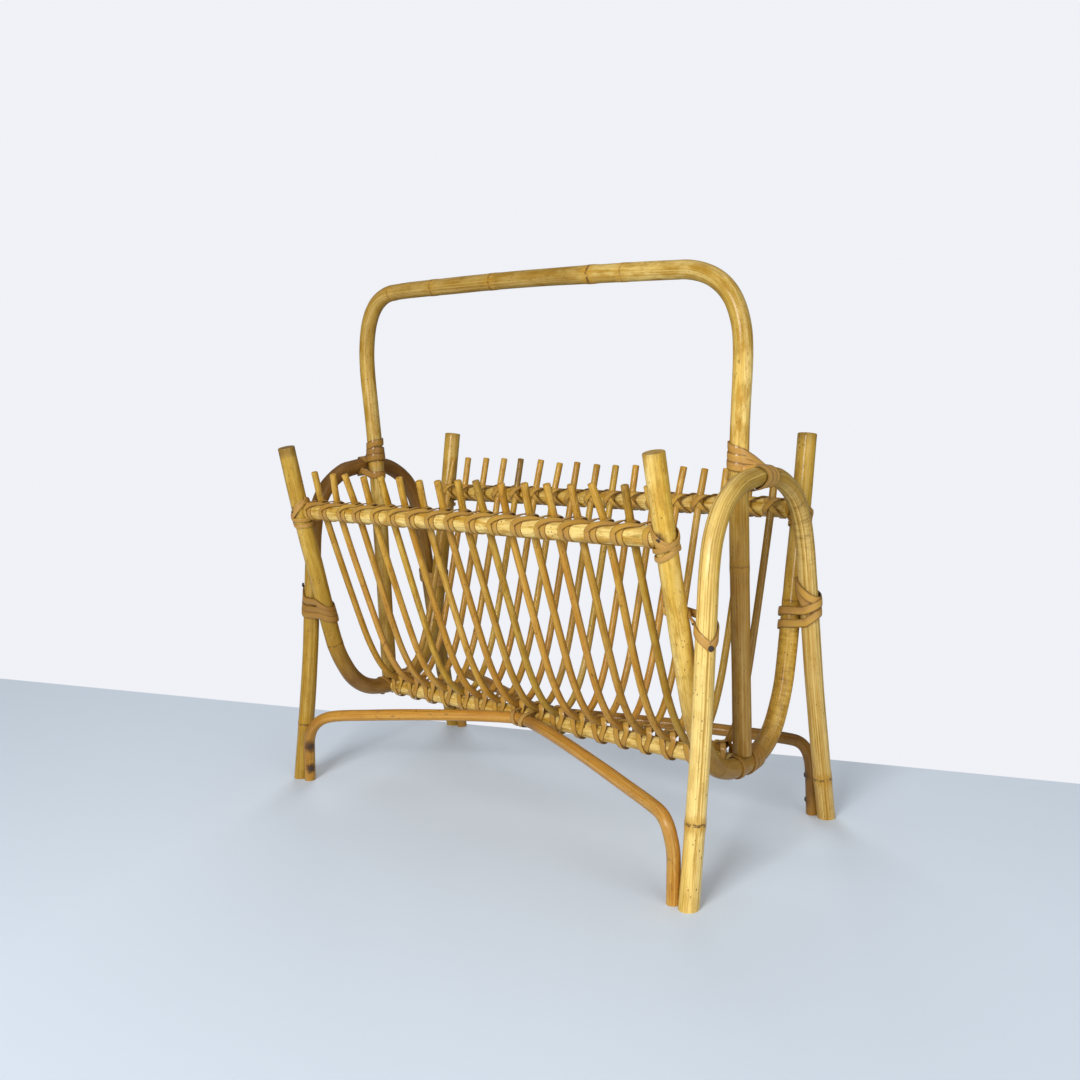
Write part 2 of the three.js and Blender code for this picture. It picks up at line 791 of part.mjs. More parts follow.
corners.forEach((corner) => {
  addPiece(`${corner.name}_brace_nail_lower`, braceNail(corner, lowerNailZ), 'nail');
  addPiece(`${corner.name}_brace_nail_upper`, braceNail(corner, upperNailZ), 'nail');
  addPiece(`${corner.name}_leg_nail`, legNail(corner), 'nail');
  addPiece(`${corner.name}_post_nail`, postNail(corner), 'nail');
});

export default basket;
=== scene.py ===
"""The looks of a magazine basket of bent rattan poles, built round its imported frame.

Each piece of the frame is modelled again with more form: the poles get their joints, cut ends and
true bends, and the flat cane is laid turn by turn. Lengths are metres.
"""

import math
import random
from functools import reduce

import bpy
import numpy as np
from mathutils import Matrix, Vector


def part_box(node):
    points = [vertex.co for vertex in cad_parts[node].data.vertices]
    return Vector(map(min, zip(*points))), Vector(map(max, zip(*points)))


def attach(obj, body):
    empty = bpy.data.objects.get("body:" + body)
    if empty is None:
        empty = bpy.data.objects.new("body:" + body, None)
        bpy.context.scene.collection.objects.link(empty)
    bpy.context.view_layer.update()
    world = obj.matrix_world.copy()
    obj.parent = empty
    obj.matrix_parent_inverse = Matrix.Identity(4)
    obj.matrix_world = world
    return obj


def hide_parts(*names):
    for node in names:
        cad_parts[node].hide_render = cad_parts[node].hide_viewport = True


bl_info = {
    "name": "Rattan Magazine Basket",
    "version": (1, 0, 0),
    "blender": (4, 5, 0),
    "location": "3D View > Sidebar > Basket",
    "description": "Builds a magazine basket of rattan poles and cane round its packed frame",
    "category": "Add Mesh",
}

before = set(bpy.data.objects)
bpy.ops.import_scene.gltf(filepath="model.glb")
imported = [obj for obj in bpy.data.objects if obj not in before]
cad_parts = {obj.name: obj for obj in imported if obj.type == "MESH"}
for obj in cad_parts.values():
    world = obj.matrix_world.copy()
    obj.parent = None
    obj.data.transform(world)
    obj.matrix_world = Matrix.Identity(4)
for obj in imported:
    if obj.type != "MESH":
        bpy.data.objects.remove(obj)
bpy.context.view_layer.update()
MM = 0.001


def middle(node, axis):
    """The middle of a frame piece along one axis."""
    low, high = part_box(node)
    return (low[axis] + high[axis]) / 2


def length_of(name, text, default, **more):
    return bpy.props.FloatProperty(
        name=name, description=text, default=default, unit="LENGTH", precision=4, **more
    )


def colour_of(name, text, default):
    return bpy.props.FloatVectorProperty(
        name=name, description=text, default=default, subtype="COLOR", size=3, min=0, max=1
    )


# Sizes and colours


class BasketPoleSizes(bpy.types.PropertyGroup):
    """Diameters and places of the round poles."""

    loop: length_of("Loop", "Diameter of the two end loops", 15.2 * MM)
    arch: length_of("Leg arch", "Diameter of the two arched legs", 14.4 * MM)
    handle: length_of("Handle", "Diameter of the carrying handle", 14.2 * MM)
    top_rail: length_of("Top rail", "Diameter of the two top rails", 15.0 * MM)
    bottom_rail: length_of("Bottom rail", "Diameter of the bottom rail", 13.5 * MM)
    spindle: length_of("Spindle", "Diameter of the thin spindles", 5.9 * MM)
    brace: length_of("Brace", "Diameter of the two long braces", 10.0 * MM)
    loop_x: length_of("Loop place", "Half the distance between the loops", middle("right_end_loop", 0))
    arch_x: length_of("Arch place", "Half the distance between the arches", middle("right_arch_legs", 0))
    rail_z: length_of("Top rail height", "Height of the top rails", middle("front_top_rail", 2))
    rail_y: length_of(
        "Top rail depth", "Distance of each top rail from the middle", middle("rear_top_rail", 1)
    )
    bottom_z: length_of("Bottom rail height", "Height of the bottom rail", middle("bottom_rail", 2))


class BasketCaneSizes(bpy.types.PropertyGroup):
    """Sizes of the flat cane and the nails."""

    width: length_of("Cane width", "Width of the flat cane of the lashings", 6.0 * MM)
    binding: length_of("Binding width", "Width of the flat cane wound along the rails", 5.0 * MM)
    tie: length_of("Tie width", "Width of the cane that ties the braces", 4.4 * MM)
    thickness: length_of("Cane thickness", "Thickness of the flat cane", 1.0 * MM)
    nail: length_of("Nail head", "Diameter of the nail heads", 4.0 * MM)


class BasketColours(bpy.types.PropertyGroup):
    """Colours of the rattan, the cane and the nails."""

    straw: colour_of("Straw", "Main colour of the poles", (0.64, 0.39, 0.048))
    butter: colour_of("Butter", "Palest colour of the poles", (0.84, 0.62, 0.21))
    golden: colour_of("Golden", "Warm patches of the poles", (0.45, 0.22, 0.011))
    olive: colour_of("Olive", "Greenish brown of the dull poles", (0.25, 0.142, 0.011))
    orange: colour_of("Orange", "Reddish orange of some canes", (0.50, 0.205, 0.028))
    # Brown also paints shade: on the left arch's crown, the rear brace's right end, the brace tie, the
    # strips' edges and round the post nails
    brown: colour_of("Brown", "Dark stains and joints", (0.095, 0.042, 0.012))
    pith: colour_of("Pith", "Cut ends of the poles", (0.55, 0.46, 0.30))
    strip: colour_of("Cane", "Main colour of the lashings", (0.49, 0.275, 0.078))
    binding: colour_of("Binding", "Main colour of the cane along the rails", (0.42, 0.225, 0.048))
    nail: colour_of("Nail", "Dark steel of the nail heads", (0.035, 0.026, 0.02))


class BasketStage(bpy.types.PropertyGroup):
    """The floor, the light and the lens."""

    floor: colour_of("Floor", "Colour of the floor", (0.70, 0.79, 0.905))
    backdrop: colour_of("Backdrop", "Colour behind the floor", (0.87, 0.885, 0.925))
    lens: bpy.props.FloatProperty(
        name="Lens", description="Focal length of the camera", default=36.687, unit="CAMERA"
    )
    sky: bpy.props.FloatProperty(
        name="Soft light", description="Strength of the light all round", default=0.21
    )
    window: bpy.props.FloatProperty(
        name="Window light", description="Power of the large lamp at the front", default=36.0, unit="POWER"
    )


# Routes of the poles

LOOP_SHARES = [
    (0, 0), (0.1, 0.004), (0.215, 0.0125), (0.333, 0.035), (0.44, 0.075), (0.528, 0.133),
    (0.6, 0.2), (0.66, 0.296), (0.718, 0.4125), (0.785, 0.546), (0.856, 0.68), (1, 1),
]
ARCH_SHARES = [
    (1, 0), (0.894, 0.21), (0.803, 0.415), (0.747, 0.58), (0.7, 0.715), (0.668, 0.8),
    (0.61, 0.875), (0.49, 0.94), (0.29, 0.986), (0.15, 0.996), (0, 1),
]
LOOP_TOP_Y = 102.2 * MM
LOOP_TOP_Z = 309 * MM
ARCH_FOOT_Y = LOOP_TOP_Y - 3.8 * MM
ARCH_TOP_Z = 284.5 * MM
SPINDLES = 17
SPINDLE_LEAN = 0.3
SPINDLE_TIP_Z = 286 * MM
SPINDLE_BEND_Z = 150 * MM
SPINDLE_INSET = 18 * MM
# The handle leans outward as far as one height, then spreads as far as its bends begin
HANDLE_LEAN, HANDLE_SPREAD = 1 * MM, 5.4 * MM
HANDLE_LEAN_Z, HANDLE_BEND_Z = 300 * MM, 376 * MM
HANDLE_LEFT_Z, HANDLE_RIGHT_Z = 443.5 * MM, 434 * MM
# Thicknesses of the frame's own poles, and the gap between two of them
LOOP_THICK, ARCH_THICK, BRACE_THICK = 15.2 * MM, 14.6 * MM, 10 * MM
RAIL_THICK, BOTTOM_THICK, SPINDLE_THICK = 15 * MM, 13.5 * MM, 5.8 * MM
GAP = 0.3 * MM
# How far a brace's shins stand inside the arches, its place beside the bottom rail and above it,
# the heights at which a common and a soft knee begin, and how far the shins lean there
BRACE_INSET = (ARCH_THICK + BRACE_THICK) / 2 + GAP
BRACE_ASIDE, BRACE_RISE = 13.95 * MM, 1.5 * MM
SHIN_Z, SOFT_SHIN_Z, SHIN_LEAN = 36 * MM, 27 * MM, 1.4 * MM
# How far a pole runs on below the floor before its feet are cut level
FOOT_SPARE = 8 * MM
# For each spindle how short it is, then how far its tip and its place at the rail lie aside, in mm
FRONT_LEAN = (
    (0, 1.5, 1, 2.5, 2, 2, 4, 3.5, 2.5, 2, 3.4, 2.6, 2.4, 2, 0.6, 1, 1),
    (0, 3, -3.4, -1.4, -1.6, -1, 0, -1, 0, -3, 0.6, 2, 1.3, 1.6, -2, 4.4, 1),
    (-3.6, -3.8, -1.2, -3.4, -2, -3.8, -3, -3, -3.4, -2.6, -1.6, -0.3, 1, 0.9, 2.4, 2.6, 1.5),
)
REAR_LEAN = (
    (0, 0, 0, 0, 0, 0.6, 3, 2, 3.6, 4, 3.6, 4.4, 3.8, 5, 4.6, 5, 5),
    (-2, -4, -1.4, 0, -1, 2, 3, 1, 1.5, 0, -0.8, 1, 3.6, 2, 0, 1, -1),
    (-2, -2.4, -1, -0.4, -0.6, 1, 1.4, 0.5, 1, 0, -0.4, 0.6, 2, 1, 0.4, 0.6, 0),
)


def point(x, y, z):
    return np.array((x, y, z), float)


def unit(v):
    return v / np.linalg.norm(v)


def bezier(start, knee, end, shares):
    return [start * (1 - t) ** 2 + knee * 2 * t * (1 - t) + end * t * t for t in shares]


def part_way(a, b, start, end, t):
    """The place at t between a, reached at start, and b, reached at end."""
    return a * (end - t) / (end - start) + b * (t - start) / (end - start)


def smooth(points, fine=10):
    """A smooth line through the points, in so many steps from each point to the next."""
    points = [np.asarray(p, float) for p in points]
    ends = [2 * points[0] - points[1], *points, 2 * points[-1] - points[-2]]
    line = []
    for a, b, c, d in zip(ends, ends[1:], ends[2:], ends[3:]):
        gaps = [max(np.linalg.norm(q - p), 1e-9) ** 0.5 for p, q in ((a, b), (b, c), (c, d))]
        t0, t1, t2, t3 = np.cumsum([0, *gaps])
        for t in np.linspace(t1, t2, fine, endpoint=False):
            mid = part_way(b, c, t1, t2, t)
            before = part_way(part_way(a, b, t0, t1, t), mid, t0, t2, t)
            after = part_way(mid, part_way(c, d, t2, t3, t), t1, t3, t)
            line.append(part_way(before, after, t1, t2, t))
    line.append(points[-1])
    return np.array(line)


class Outline:
    """Half of a loop or an arch, read by its height or by its distance out."""

    def __init__(self, half):
        line = smooth(half, 16)
        self.by_height = line[np.argsort(line[:, 2])]
        self.by_reach = line[np.argsort(line[:, 1])]

    def out_at(self, z):
        return float(np.interp(z, self.by_height[:, 2], self.by_height[:, 1]))

    def height_at(self, y):
        return float(np.interp(y, self.by_reach[:, 1], self.by_reach[:, 2]))


def mirrored(half):
    return [p * (1, -1, 1) for p in half]


def both_sides(half):
    return [*half, *mirrored(half[-2::-1])]


def loop_half(x, bottom_z):
    rise = LOOP_TOP_Z - bottom_z
    return [point(x, a * LOOP_TOP_Y, bottom_z + u * rise) for a, u in reversed(LOOP_SHARES)]


def arch_half(x):
    return [point(x, a * ARCH_FOOT_Y, u * ARCH_TOP_Z) for a, u in ARCH_SHARES]


class Plan:
    """Every place that the pieces share, worked out once from the sizes."""

    def __init__(self, poles, cane):
        self.poles, self.cane = poles, cane
        self.loop_x, self.arch_x = poles.loop_x, poles.arch_x
        self.bottom_z, self.rail_y, self.rail_z = poles.bottom_z, poles.rail_y, poles.rail_z
        self.loop, self.arch = Outline(loop_half(0, self.bottom_z)), Outline(arch_half(0))
        self.post_y = self.loop.out_at(self.rail_z)
        self.cross_z = self.crossing()
        self.tilt = math.atan(SPINDLE_LEAN)
        reach = (RAIL_THICK + SPINDLE_THICK) / 2 + GAP
        self.seat_y = self.rail_y - math.cos(self.tilt) * reach
        self.seat_z = self.rail_z + math.sin(self.tilt) * reach
        self.spindle_end_x = self.loop_x - SPINDLE_INSET
        self.pitch = 2 * self.spindle_end_x / (SPINDLES - 1)
        self.spindle_bottom_z = self.bottom_z + (BOTTOM_THICK + SPINDLE_THICK) / 2 + GAP

    def crossing(self):
        """The height at which a leg crosses its post, found by halving."""
        low, high = self.bottom_z + 15 * MM, self.rail_z
        for _ in range(40):
            z = (low + high) / 2
            low, high = (z, high) if self.loop.out_at(z) < self.arch.out_at(z) else (low, z)
        return (low + high) / 2

    def spindle_x(self, index):
        return -self.spindle_end_x + index * self.pitch

    def spindle_out(self, z):
        return self.seat_y + (z - self.seat_z) * SPINDLE_LEAN

    def spindle_half(self, x, tip_z=SPINDLE_TIP_Z, tip_aside=0.0, held_aside=0.0):
        tip = point(x + tip_aside, self.spindle_out(tip_z), tip_z)
        held = point(x + held_aside, self.seat_y, self.seat_z)
        start = point(x + 0.45 * held_aside, self.spindle_out(SPINDLE_BEND_Z), SPINDLE_BEND_Z)
        knee = point(x, self.spindle_out(self.spindle_bottom_z), self.spindle_bottom_z)
        bottom = point(x, 0, self.spindle_bottom_z)
        return [tip, held, start, *bezier(start, knee, bottom, (0.25, 0.5, 0.7, 0.88)), bottom]

    def handle_x(self, z):
        return self.loop_x + HANDLE_LEAN * (z - self.bottom_z) / (HANDLE_LEAN_Z - self.bottom_z)

    def handle_points(self):
        spread = self.loop_x + HANDLE_SPREAD
        side = [(self.loop_x, self.bottom_z + LOOP_THICK / 2 + GAP)]
        side += [(self.loop_x + HANDLE_LEAN, HANDLE_LEAN_Z), (spread, HANDLE_BEND_Z)]
        left, right = [point(-x, 0, z) for x, z in side], [point(x, 0, z) for x, z in side[::-1]]
        a, b = point(46 * MM - spread, 0, HANDLE_LEFT_Z), point(spread - 60 * MM, 0, HANDLE_RIGHT_Z)
        crown = (b[0] - a[0]) * 0.008
        top = [a + (b - a) * t + point(0, 0, crown * math.sin(math.pi * t)) for t in (0, 0.25, 0.5, 0.75, 1)]
        shares = (0.16, 0.34, 0.5, 0.66, 0.84)
        left_bend = bezier(left[-1], point(-spread, 0, HANDLE_LEFT_Z), a, shares)
        right_bend = bezier(b, point(spread, 0, HANDLE_RIGHT_Z), right[0], shares)
        return [*left, *left_bend, *top, *right_bend, *right]

    def brace_points(self, depth):
        """A brace from its left foot to its right, with its left front knee a little softer."""
        centre_x, centre_z = -self.pitch / 2, self.bottom_z + BRACE_RISE
        foot_x, shoulder_y = self.arch_x - BRACE_INSET, ARCH_FOOT_Y - 4.9 * MM
        bow = 0.06
        full = math.hypot(1, bow) - bow

        def half(side):
            shoulder_x = side * (self.arch_x - 25.7 * MM)
            soft = side < 0 and depth < 0
            run = []
            for t in (0.04, 0.1, 0.25, 0.5, 0.75, 0.92 if soft else 1):
                out = (math.hypot(t, bow) - bow) / full
                y = BRACE_ASIDE + (shoulder_y - BRACE_ASIDE) * out
                x = centre_x + (shoulder_x - centre_x) * t
                run.append(point(x, y * depth, centre_z - 9.5 * MM * t * t))
            shin = point(side * foot_x, (ARCH_FOOT_Y - SHIN_LEAN) * depth, SOFT_SHIN_Z if soft else SHIN_Z)
            knee = point(side * (foot_x - 1.4 * MM), (ARCH_FOOT_Y + 0.2 * MM) * depth, 58.5 * MM)
            foot = point(side * foot_x, ARCH_FOOT_Y * depth, 0)
            return [*run, *bezier(run[-1], knee, shin, (0.2, 0.4, 0.6, 0.8, 1)), foot]

        return [*half(-1)[::-1], point(centre_x, BRACE_ASIDE * depth, centre_z), *half(1)]


def settings_of(context):
    """The plan and the colours that the scene's properties give."""
    scene = context.scene
    return Plan(scene.basket_poles, scene.basket_cane), scene.basket_colours


# Shader maths


class Level:
    """A number that varies over a surface, for ordinary arithmetic."""

    def __init__(self, finish, socket):
        self.finish, self.socket = finish, socket

    def __add__(self, other):
        return self.finish.maths("ADD", self, other)

    def __mul__(self, other):
        return self.finish.maths("MULTIPLY", self, other)

    __radd__, __rmul__ = __add__, __mul__

    def __sub__(self, other):
        return self.finish.maths("SUBTRACT", self, other)

    def __rsub__(self, other):
        return self.finish.maths("SUBTRACT", other, self)

    def __abs__(self):
        return self.finish.maths("ABSOLUTE", self)

    def __mod__(self, other):
        return self.finish.maths("FLOORED_MODULO", self, other)

    def most(self, other):
        return self.finish.maths("MAXIMUM", self, other)

    def between(self, low, high):
        """Rises smoothly from 0 to 1 while this number goes from low to high."""
        values = {"Value": self, "From Min": low, "From Max": high}
        made = self.finish.node("ShaderNodeMapRange", {"interpolation_type": "SMOOTHSTEP"}, values)
        return Level(self.finish, made.outputs[0])


class Nodes:
    """A tree of nodes, and the one way in which nodes are added to it."""

    def __init__(self, tree):
        self.tree = tree

    def node(self, kind, settings=None, values=None):
        """Add a node, then its settings, then the values or links of its sockets."""
        made = self.tree.nodes.new(kind)
        for name, value in (settings or {}).items():
            setattr(made, name, value)
        for name, value in (values or {}).items():
            self.give(made.inputs[name], value)
        return made

    def give(self, socket, value):
        source = value.socket if isinstance(value, Level) else value
        if isinstance(source, bpy.types.NodeSocket):
            self.tree.links.new(source, socket)
        elif socket.type == "RGBA":
            socket.default_value = (*value, 1.0)
        else:
            socket.default_value = value


class Finish(Nodes):
    """One material and the nodes that make its look."""

    def __init__(self, name):
        self.material = bpy.data.materials.new(name)
        self.material.use_nodes = True
        super().__init__(self.material.node_tree)
        self.shader = next(n for n in self.tree.nodes if n.type == "BSDF_PRINCIPLED")

    def maths(self, operation, *values):
        made = self.node("ShaderNodeMath", {"operation": operation}, dict(enumerate(values)))
        return Level(self, made.outputs[0])

    def vectors(self, operation, a, b):
        return self.node("ShaderNodeVectorMath", {"operation": operation}, {0: a, 1: b}).outputs

    def blend(self, share, a, b):
        """A colour between a and b."""
        return self.node("ShaderNodeMix", {"data_type": "RGBA"}, {0: share, 6: a, 7: b}).outputs[2]

    def paint(self, colour, *coats):
        """Lay coats over a colour in order, each a share and a colour."""
        for share, over in coats:
            colour = self.blend(share, colour, over)
        return colour

    def attribute(self, name):
        return self.node("ShaderNodeAttribute", {"attribute_name": name}).outputs["Vector"]

    def here(self):
        return self.node("ShaderNodeTexCoord").outputs["Object"]

    def parts(self, vector):
        return [Level(self, s) for s in self.node("ShaderNodeSeparateXYZ", None, {0: vector}).outputs]

    def texture(self, kind, output, vector, scale, **values):
        """A texture at one scale, or at three that stretch it along each axis."""
        if isinstance(scale, tuple):
            vector, scale = self.vectors("MULTIPLY", vector, scale)[0], 1.0
        made = self.node(kind, None, {"Vector": vector, "Scale": scale, **values})
        return Level(self, made.outputs[output])

    def noise(self, vector, scale, detail=2.0, rough=0.5):
        return self.texture("ShaderNodeTexNoise", 0, vector, scale, Detail=detail, Roughness=rough)

    def cells(self, vector, scale):
        return self.texture("ShaderNodeTexVoronoi", "Distance", vector, scale)

    def bump(self, height, strength, distance, under=None):
        values = {"Height": height, "Strength": strength, "Distance": distance}
        if under is not None:
            values["Normal"] = under
        return self.node("ShaderNodeBump", None, values).outputs[0]

    def finish(self, colour, roughness, normal=None, coat=0.0, metal=0.0, shine=0.12):
        """Feed the shader and give back the material."""
        values = {
            "Base Color": colour, "Roughness": roughness, "Coat Weight": coat, "Coat Roughness": 0.16,
            "Specular IOR Level": shine, "Metallic": metal,
        }
        if normal is not None:
            values["Normal"] = normal
        for name, value in values.items():
            self.give(self.shader.inputs[name], value)
        return self.material


def rattan_finish(name, colours, pale, grooves, mottle=1.0, specks=1.0, fibre=1.0, ring_gap=0.0, crackle=None,
                  stains_and_shadow=()):
    """The skin of a rattan pole: long fibres, mottling, brown specks and the rings of its joints.

    The point attribute "straight" holds the place on the pole before it was bent, and "tone"
    how olive, brown and orange it is there. Crackle is the stretch of the pole with fine dark lines
    across it and painted highlights beside them. The brown places round the nails are rust stains
    on the braces, and round the post nails dark holes with painted shadow round them.
    """
    f = Finish("Rattan_" + name)
    straight = f.attribute("straight")
    _, across, along = f.parts(straight)
    olive, brown, orange = f.parts(f.attribute("tone"))

    def field(beside, lengthwise, detail=2.0, rough=0.5):
        """Noise with one scale round the pole and another along it."""
        return f.noise(straight, (beside, beside, lengthwise), detail, rough)

    wide, patch = field(60, 9, 3.0), field(140, 45, 4.0, 0.6)
    streak, grain = field(1500, 14, 3.0, 0.6), field(3200, 130)
    soil, stain = field(300, 85, 5.0, 0.7), field(170, 16, 4.0, 0.62)
    blot, tick = field(260, 150, 4.0, 0.7), field(170, 1900, 1.0)
    groove = field(760, 4, 3.0, 0.6)
    dots, spread = f.cells(straight, (420, 420, 260)), f.noise(straight, 90.0)
    colour = f.paint(
        f.blend(wide.between(0.15 + 0.5 * pale, 0.5 + 0.5 * pale), colours.butter, colours.straw),
        (patch.between(0.43, 0.64) * (0.85 * mottle), colours.golden),
        (soil.between(0.5, 0.68) * (0.55 * mottle), colours.olive),
        (soil.between(0.46, 0.28) * 0.4, colours.butter),
        (stain.between(0.53, 0.7) * (0.5 * mottle), colours.golden),
        (olive * (0.55 + 0.45 * patch), colours.olive),
        (orange * (0.7 + 0.3 * wide), colours.orange),
        (streak.between(0.5, 0.7) * (0.6 * fibre), colours.olive),
        (streak.between(0.5, 0.24) * (0.3 * fibre), colours.butter),
        (dots.between(0.26, 0.12) * spread.between(0.5, 0.64) * (0.65 * specks), colours.brown),
        (blot.between(0.62, 0.7) * (0.5 * mottle), colours.brown),
        (tick.between(0.70, 0.76) * spread.between(0.5, 0.62) * 0.35, colours.brown),
        (groove.between(0.52, 0.62) * (0.55 * grooves), colours.golden),
        (groove.between(0.6, 0.68) * (0.6 * grooves), colours.olive),
        (groove.between(0.46, 0.36) * (0.5 * grooves), colours.butter),
    )
    if crackle:
        start, end = crackle
        where = along.between(start, start + 0.03) * along.between(end + 0.03, end)
        line = field(95, 520, 3.0, 0.65)
        # Dark lines across the crackle, with pale lines beside them that are painted highlights
        colour = f.paint(
            colour,
            (line.between(0.5, 0.7) * where * 0.42, colours.brown),
            (line.between(0.47, 0.36) * where * 0.22, colours.butter),
        )
    wobble = (field(240, 0) - 0.5) * (2.4 * MM)
    rings, swellings = [], []
    for place, strength in JOINTS.get(name, ()):
        off = abs(along + wobble - place)
        rings.append(off.between((0.8 + 0.9 * strength) * MM, 0.5 * strength * MM) * strength)
        swellings.append(off.between(9 * MM, 1 * MM) * (0.75 * strength))
    if ring_gap:
        off = abs((along + across * 3.1 + wobble) % ring_gap - ring_gap / 2)
        rings.append(off.between(0.75 * MM, 0.2 * MM) * 0.6)
    if swellings:
        colour = f.blend(reduce(Level.most, swellings) * (0.5 + 0.5 * patch), colour, colours.golden)
    if rings:
        ring = reduce(Level.most, rings)
        broken = f.noise(straight, 420.0).between(0.38, 0.54)
        colour = f.blend(ring * broken * 0.85, colour, colours.brown)
    # The brown tone: stains and dark places of the pole, and on the left arch's crown and the rear brace's
    # right end partly painted shade
    colour = f.blend(brown * (0.6 + 0.4 * patch), colour, colours.brown)
    # Brown round each nail: a rust stain on the braces, and round the post nails a dark hole with painted
    # shadow
    if stains_and_shadow:
        here = f.here()
        ragged = (f.noise(here, 380.0) - 0.5) * (5 * MM)
        for spot, reach, strength in stains_and_shadow:
            off = Level(f, f.vectors("DISTANCE", here, spot)["Value"])
            colour = f.blend((off + ragged).between(reach, 0.35 * reach) * strength, colour, colours.brown)

    skin = f.bump(streak * 0.7 + grain * 0.3, 0.32 * fibre, 0.25 * MM)
    skin = f.bump(patch, 0.35, 0.6 * MM, skin)
    skin = f.bump(1 - groove, 0.6 * grooves, 0.5 * MM, skin)
    if rings:
        skin = f.bump(1 - ring, 0.6, 0.35 * MM, skin)
    return f.finish(colour, patch * 0.16 + grain * 0.06 + 0.3, skin, coat=0.3)


def pith_finish(name, colours):
    """The cut end of a pole: pale pith full of dark pores, in paler and darker clouds."""
    f = Finish(name)
    here = f.here()
    pores = f.cells(here, 1700.0).between(0.34, 0.12)
    cloud = f.noise(here, 260.0, 3.0)
    colour = f.blend(cloud.between(0.35, 0.7), colours.pith, [0.55 * c for c in colours.pith])
    colour = f.blend(pores * 0.7, colour, colours.brown)
    return f.finish(colour, 0.78, f.bump(1 - pores, 0.7, 0.3 * MM))


def cane_finish(name, colours, main, width, depth=0.0):
    """Flat cane: a glossy skin with fine fibres along it and dark edges, partly its own and partly painted
    shade; depth darkens it all over, as stain and painted shade.
    """
    f = Finish(name)
    straight = f.attribute("straight")
    across = f.parts(straight)[0]
    olive, brown, orange = f.parts(f.attribute("tone"))
    wide = f.noise(straight, (90, 90, 24), 3.0)
    streak = f.noise(straight, (2600, 300, 26), 3.0, 0.6)
    patch = f.noise(straight, (300, 300, 110), 3.0, 0.6)
    # Darker towards the edges: partly the cane's own dark edges, partly painted shade along them
    dark_edge_and_shade = abs(across).between(width / 2 * 0.66, width / 2)
    colour = f.paint(
        main,
        (wide.between(0.42, 0.62) * 0.45, colours.straw),
        (wide.between(0.44, 0.3) * 0.55, colours.golden),
        (olive, colours.olive),
        (orange, colours.orange),
        (streak.between(0.5, 0.78) * 0.4, colours.olive),
        (patch.between(0.62, 0.78) * 0.4, colours.brown),
        (dark_edge_and_shade * (0.35 + 0.5 * wide), colours.brown),
        # depth darkens the whole strip: on the tie partly a stain, partly painted shade
        (brown + depth, colours.brown),
    )
    return f.finish(colour, patch * 0.14 + 0.3, f.bump(streak, 0.4, 0.2 * MM), coat=0.35)


def nail_finish(name, colours):
    """Dark blunt steel with a touch of rust."""
    f = Finish(name)
    rust = f.noise(f.here(), 1400.0, 3.0)
    colour = f.blend(rust.between(0.45, 0.65) * 0.7, colours.nail, colours.brown)
    return f.finish(colour, rust * 0.3 + 0.35, f.bump(rust, 0.3, 0.1 * MM), metal=0.35, shine=0.5)


# Modelling helpers

# No olive, brown or orange from end to end
PLAIN = ((0, 0, 0, 0), (1, 0, 0, 0))
# How much a strong joint thickens its pole, and how long an edge is at least that gets cut
JOINT_SWELL = 0.035
LONG_EDGE = 2 * MM
# How many rings a joint's swelling reaches each way, with its share of the whole
SWELL_STEPS = ((2.2, 0.35), (1.2, 1.0))
# Waves in a pole's thickness and in how oval it is: strength, and radians per metre
SLOW_WAVE, QUICK_WAVE, OVAL_WAVE = (0.008, 41), (0.006, 97), (0.01, 23)
# How far apart the pieces lie in the patterns of their skins, for each step of their seeds
PATTERN_STEP = 0.1
# The angles up to which a pole's and a strip's faces are shaded as one
POLE_CREASE, STRIP_CREASE = math.radians(50), math.radians(60)
# How much a strip bulges in the middle and is rounded at its edges, as shares of its thickness
STRIP_CROWN, STRIP_ROUND = 0.25, 0.22


def only(*objects):
    """Select these objects and nothing else."""
    if bpy.context.object and bpy.context.object.mode != "OBJECT":
        bpy.ops.object.mode_set(mode="OBJECT")
    bpy.ops.object.select_all(action="DESELECT")
    for o in objects:
        o.select_set(True)
    if objects:
        bpy.context.view_layer.objects.active = objects[0]


def add(name, primitive, **settings):
    """A new mesh from one of the primitives."""
    only()
    primitive(**settings)
    piece = bpy.context.active_object
    piece.name = piece.data.name = name
    return piece


def add_cylinder(name, sides, radius, height):
    """A cylinder that stands on its own origin."""
    piece = add(
        name, bpy.ops.mesh.primitive_cylinder_add, vertices=sides, radius=radius, depth=height,
        location=(0, 0, height / 2),
    )
    bpy.ops.object.transform_apply(location=True, rotation=False, scale=False)
    return piece


def edit(piece, kind="VERT"):
    only(piece)
    bpy.ops.object.mode_set(mode="EDIT")
    bpy.ops.mesh.select_mode(type=kind)
    bpy.ops.mesh.select_all(action="DESELECT")


def pick(piece, items, test):
    """Select the parts of a mesh that pass a test, from inside edit mode."""
    bpy.ops.mesh.select_all(action="DESELECT")
    bpy.ops.object.mode_set(mode="OBJECT")
    for item in getattr(piece.data, items):
        item.select = bool(test(item))
    bpy.ops.object.mode_set(mode="EDIT")


def apply_all(piece):
    only(piece)
    for modifier in list(piece.modifiers):
        bpy.ops.object.modifier_apply(modifier=modifier.name)


def keep(piece, node, slot, *finishes):
    """Dress a finished piece and let it stand for its frame piece."""
    piece.data.materials.clear()
    for material in finishes:
        piece.data.materials.append(material)
    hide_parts(node)
    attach(piece, "root")


def lay_out(piece, co, straight, table, along, length):
    """Move the points, and note where each was before bending and its tones."""
    piece.data.vertices.foreach_set("co", co.astype(np.float32).ravel())
    for name, values in (("straight", straight), ("tone", tones(length, along, table))):
        made = piece.data.attributes.new(name, "FLOAT_VECTOR", "POINT")
        made.data.foreach_set("vector", np.asarray(values, np.float32).ravel())


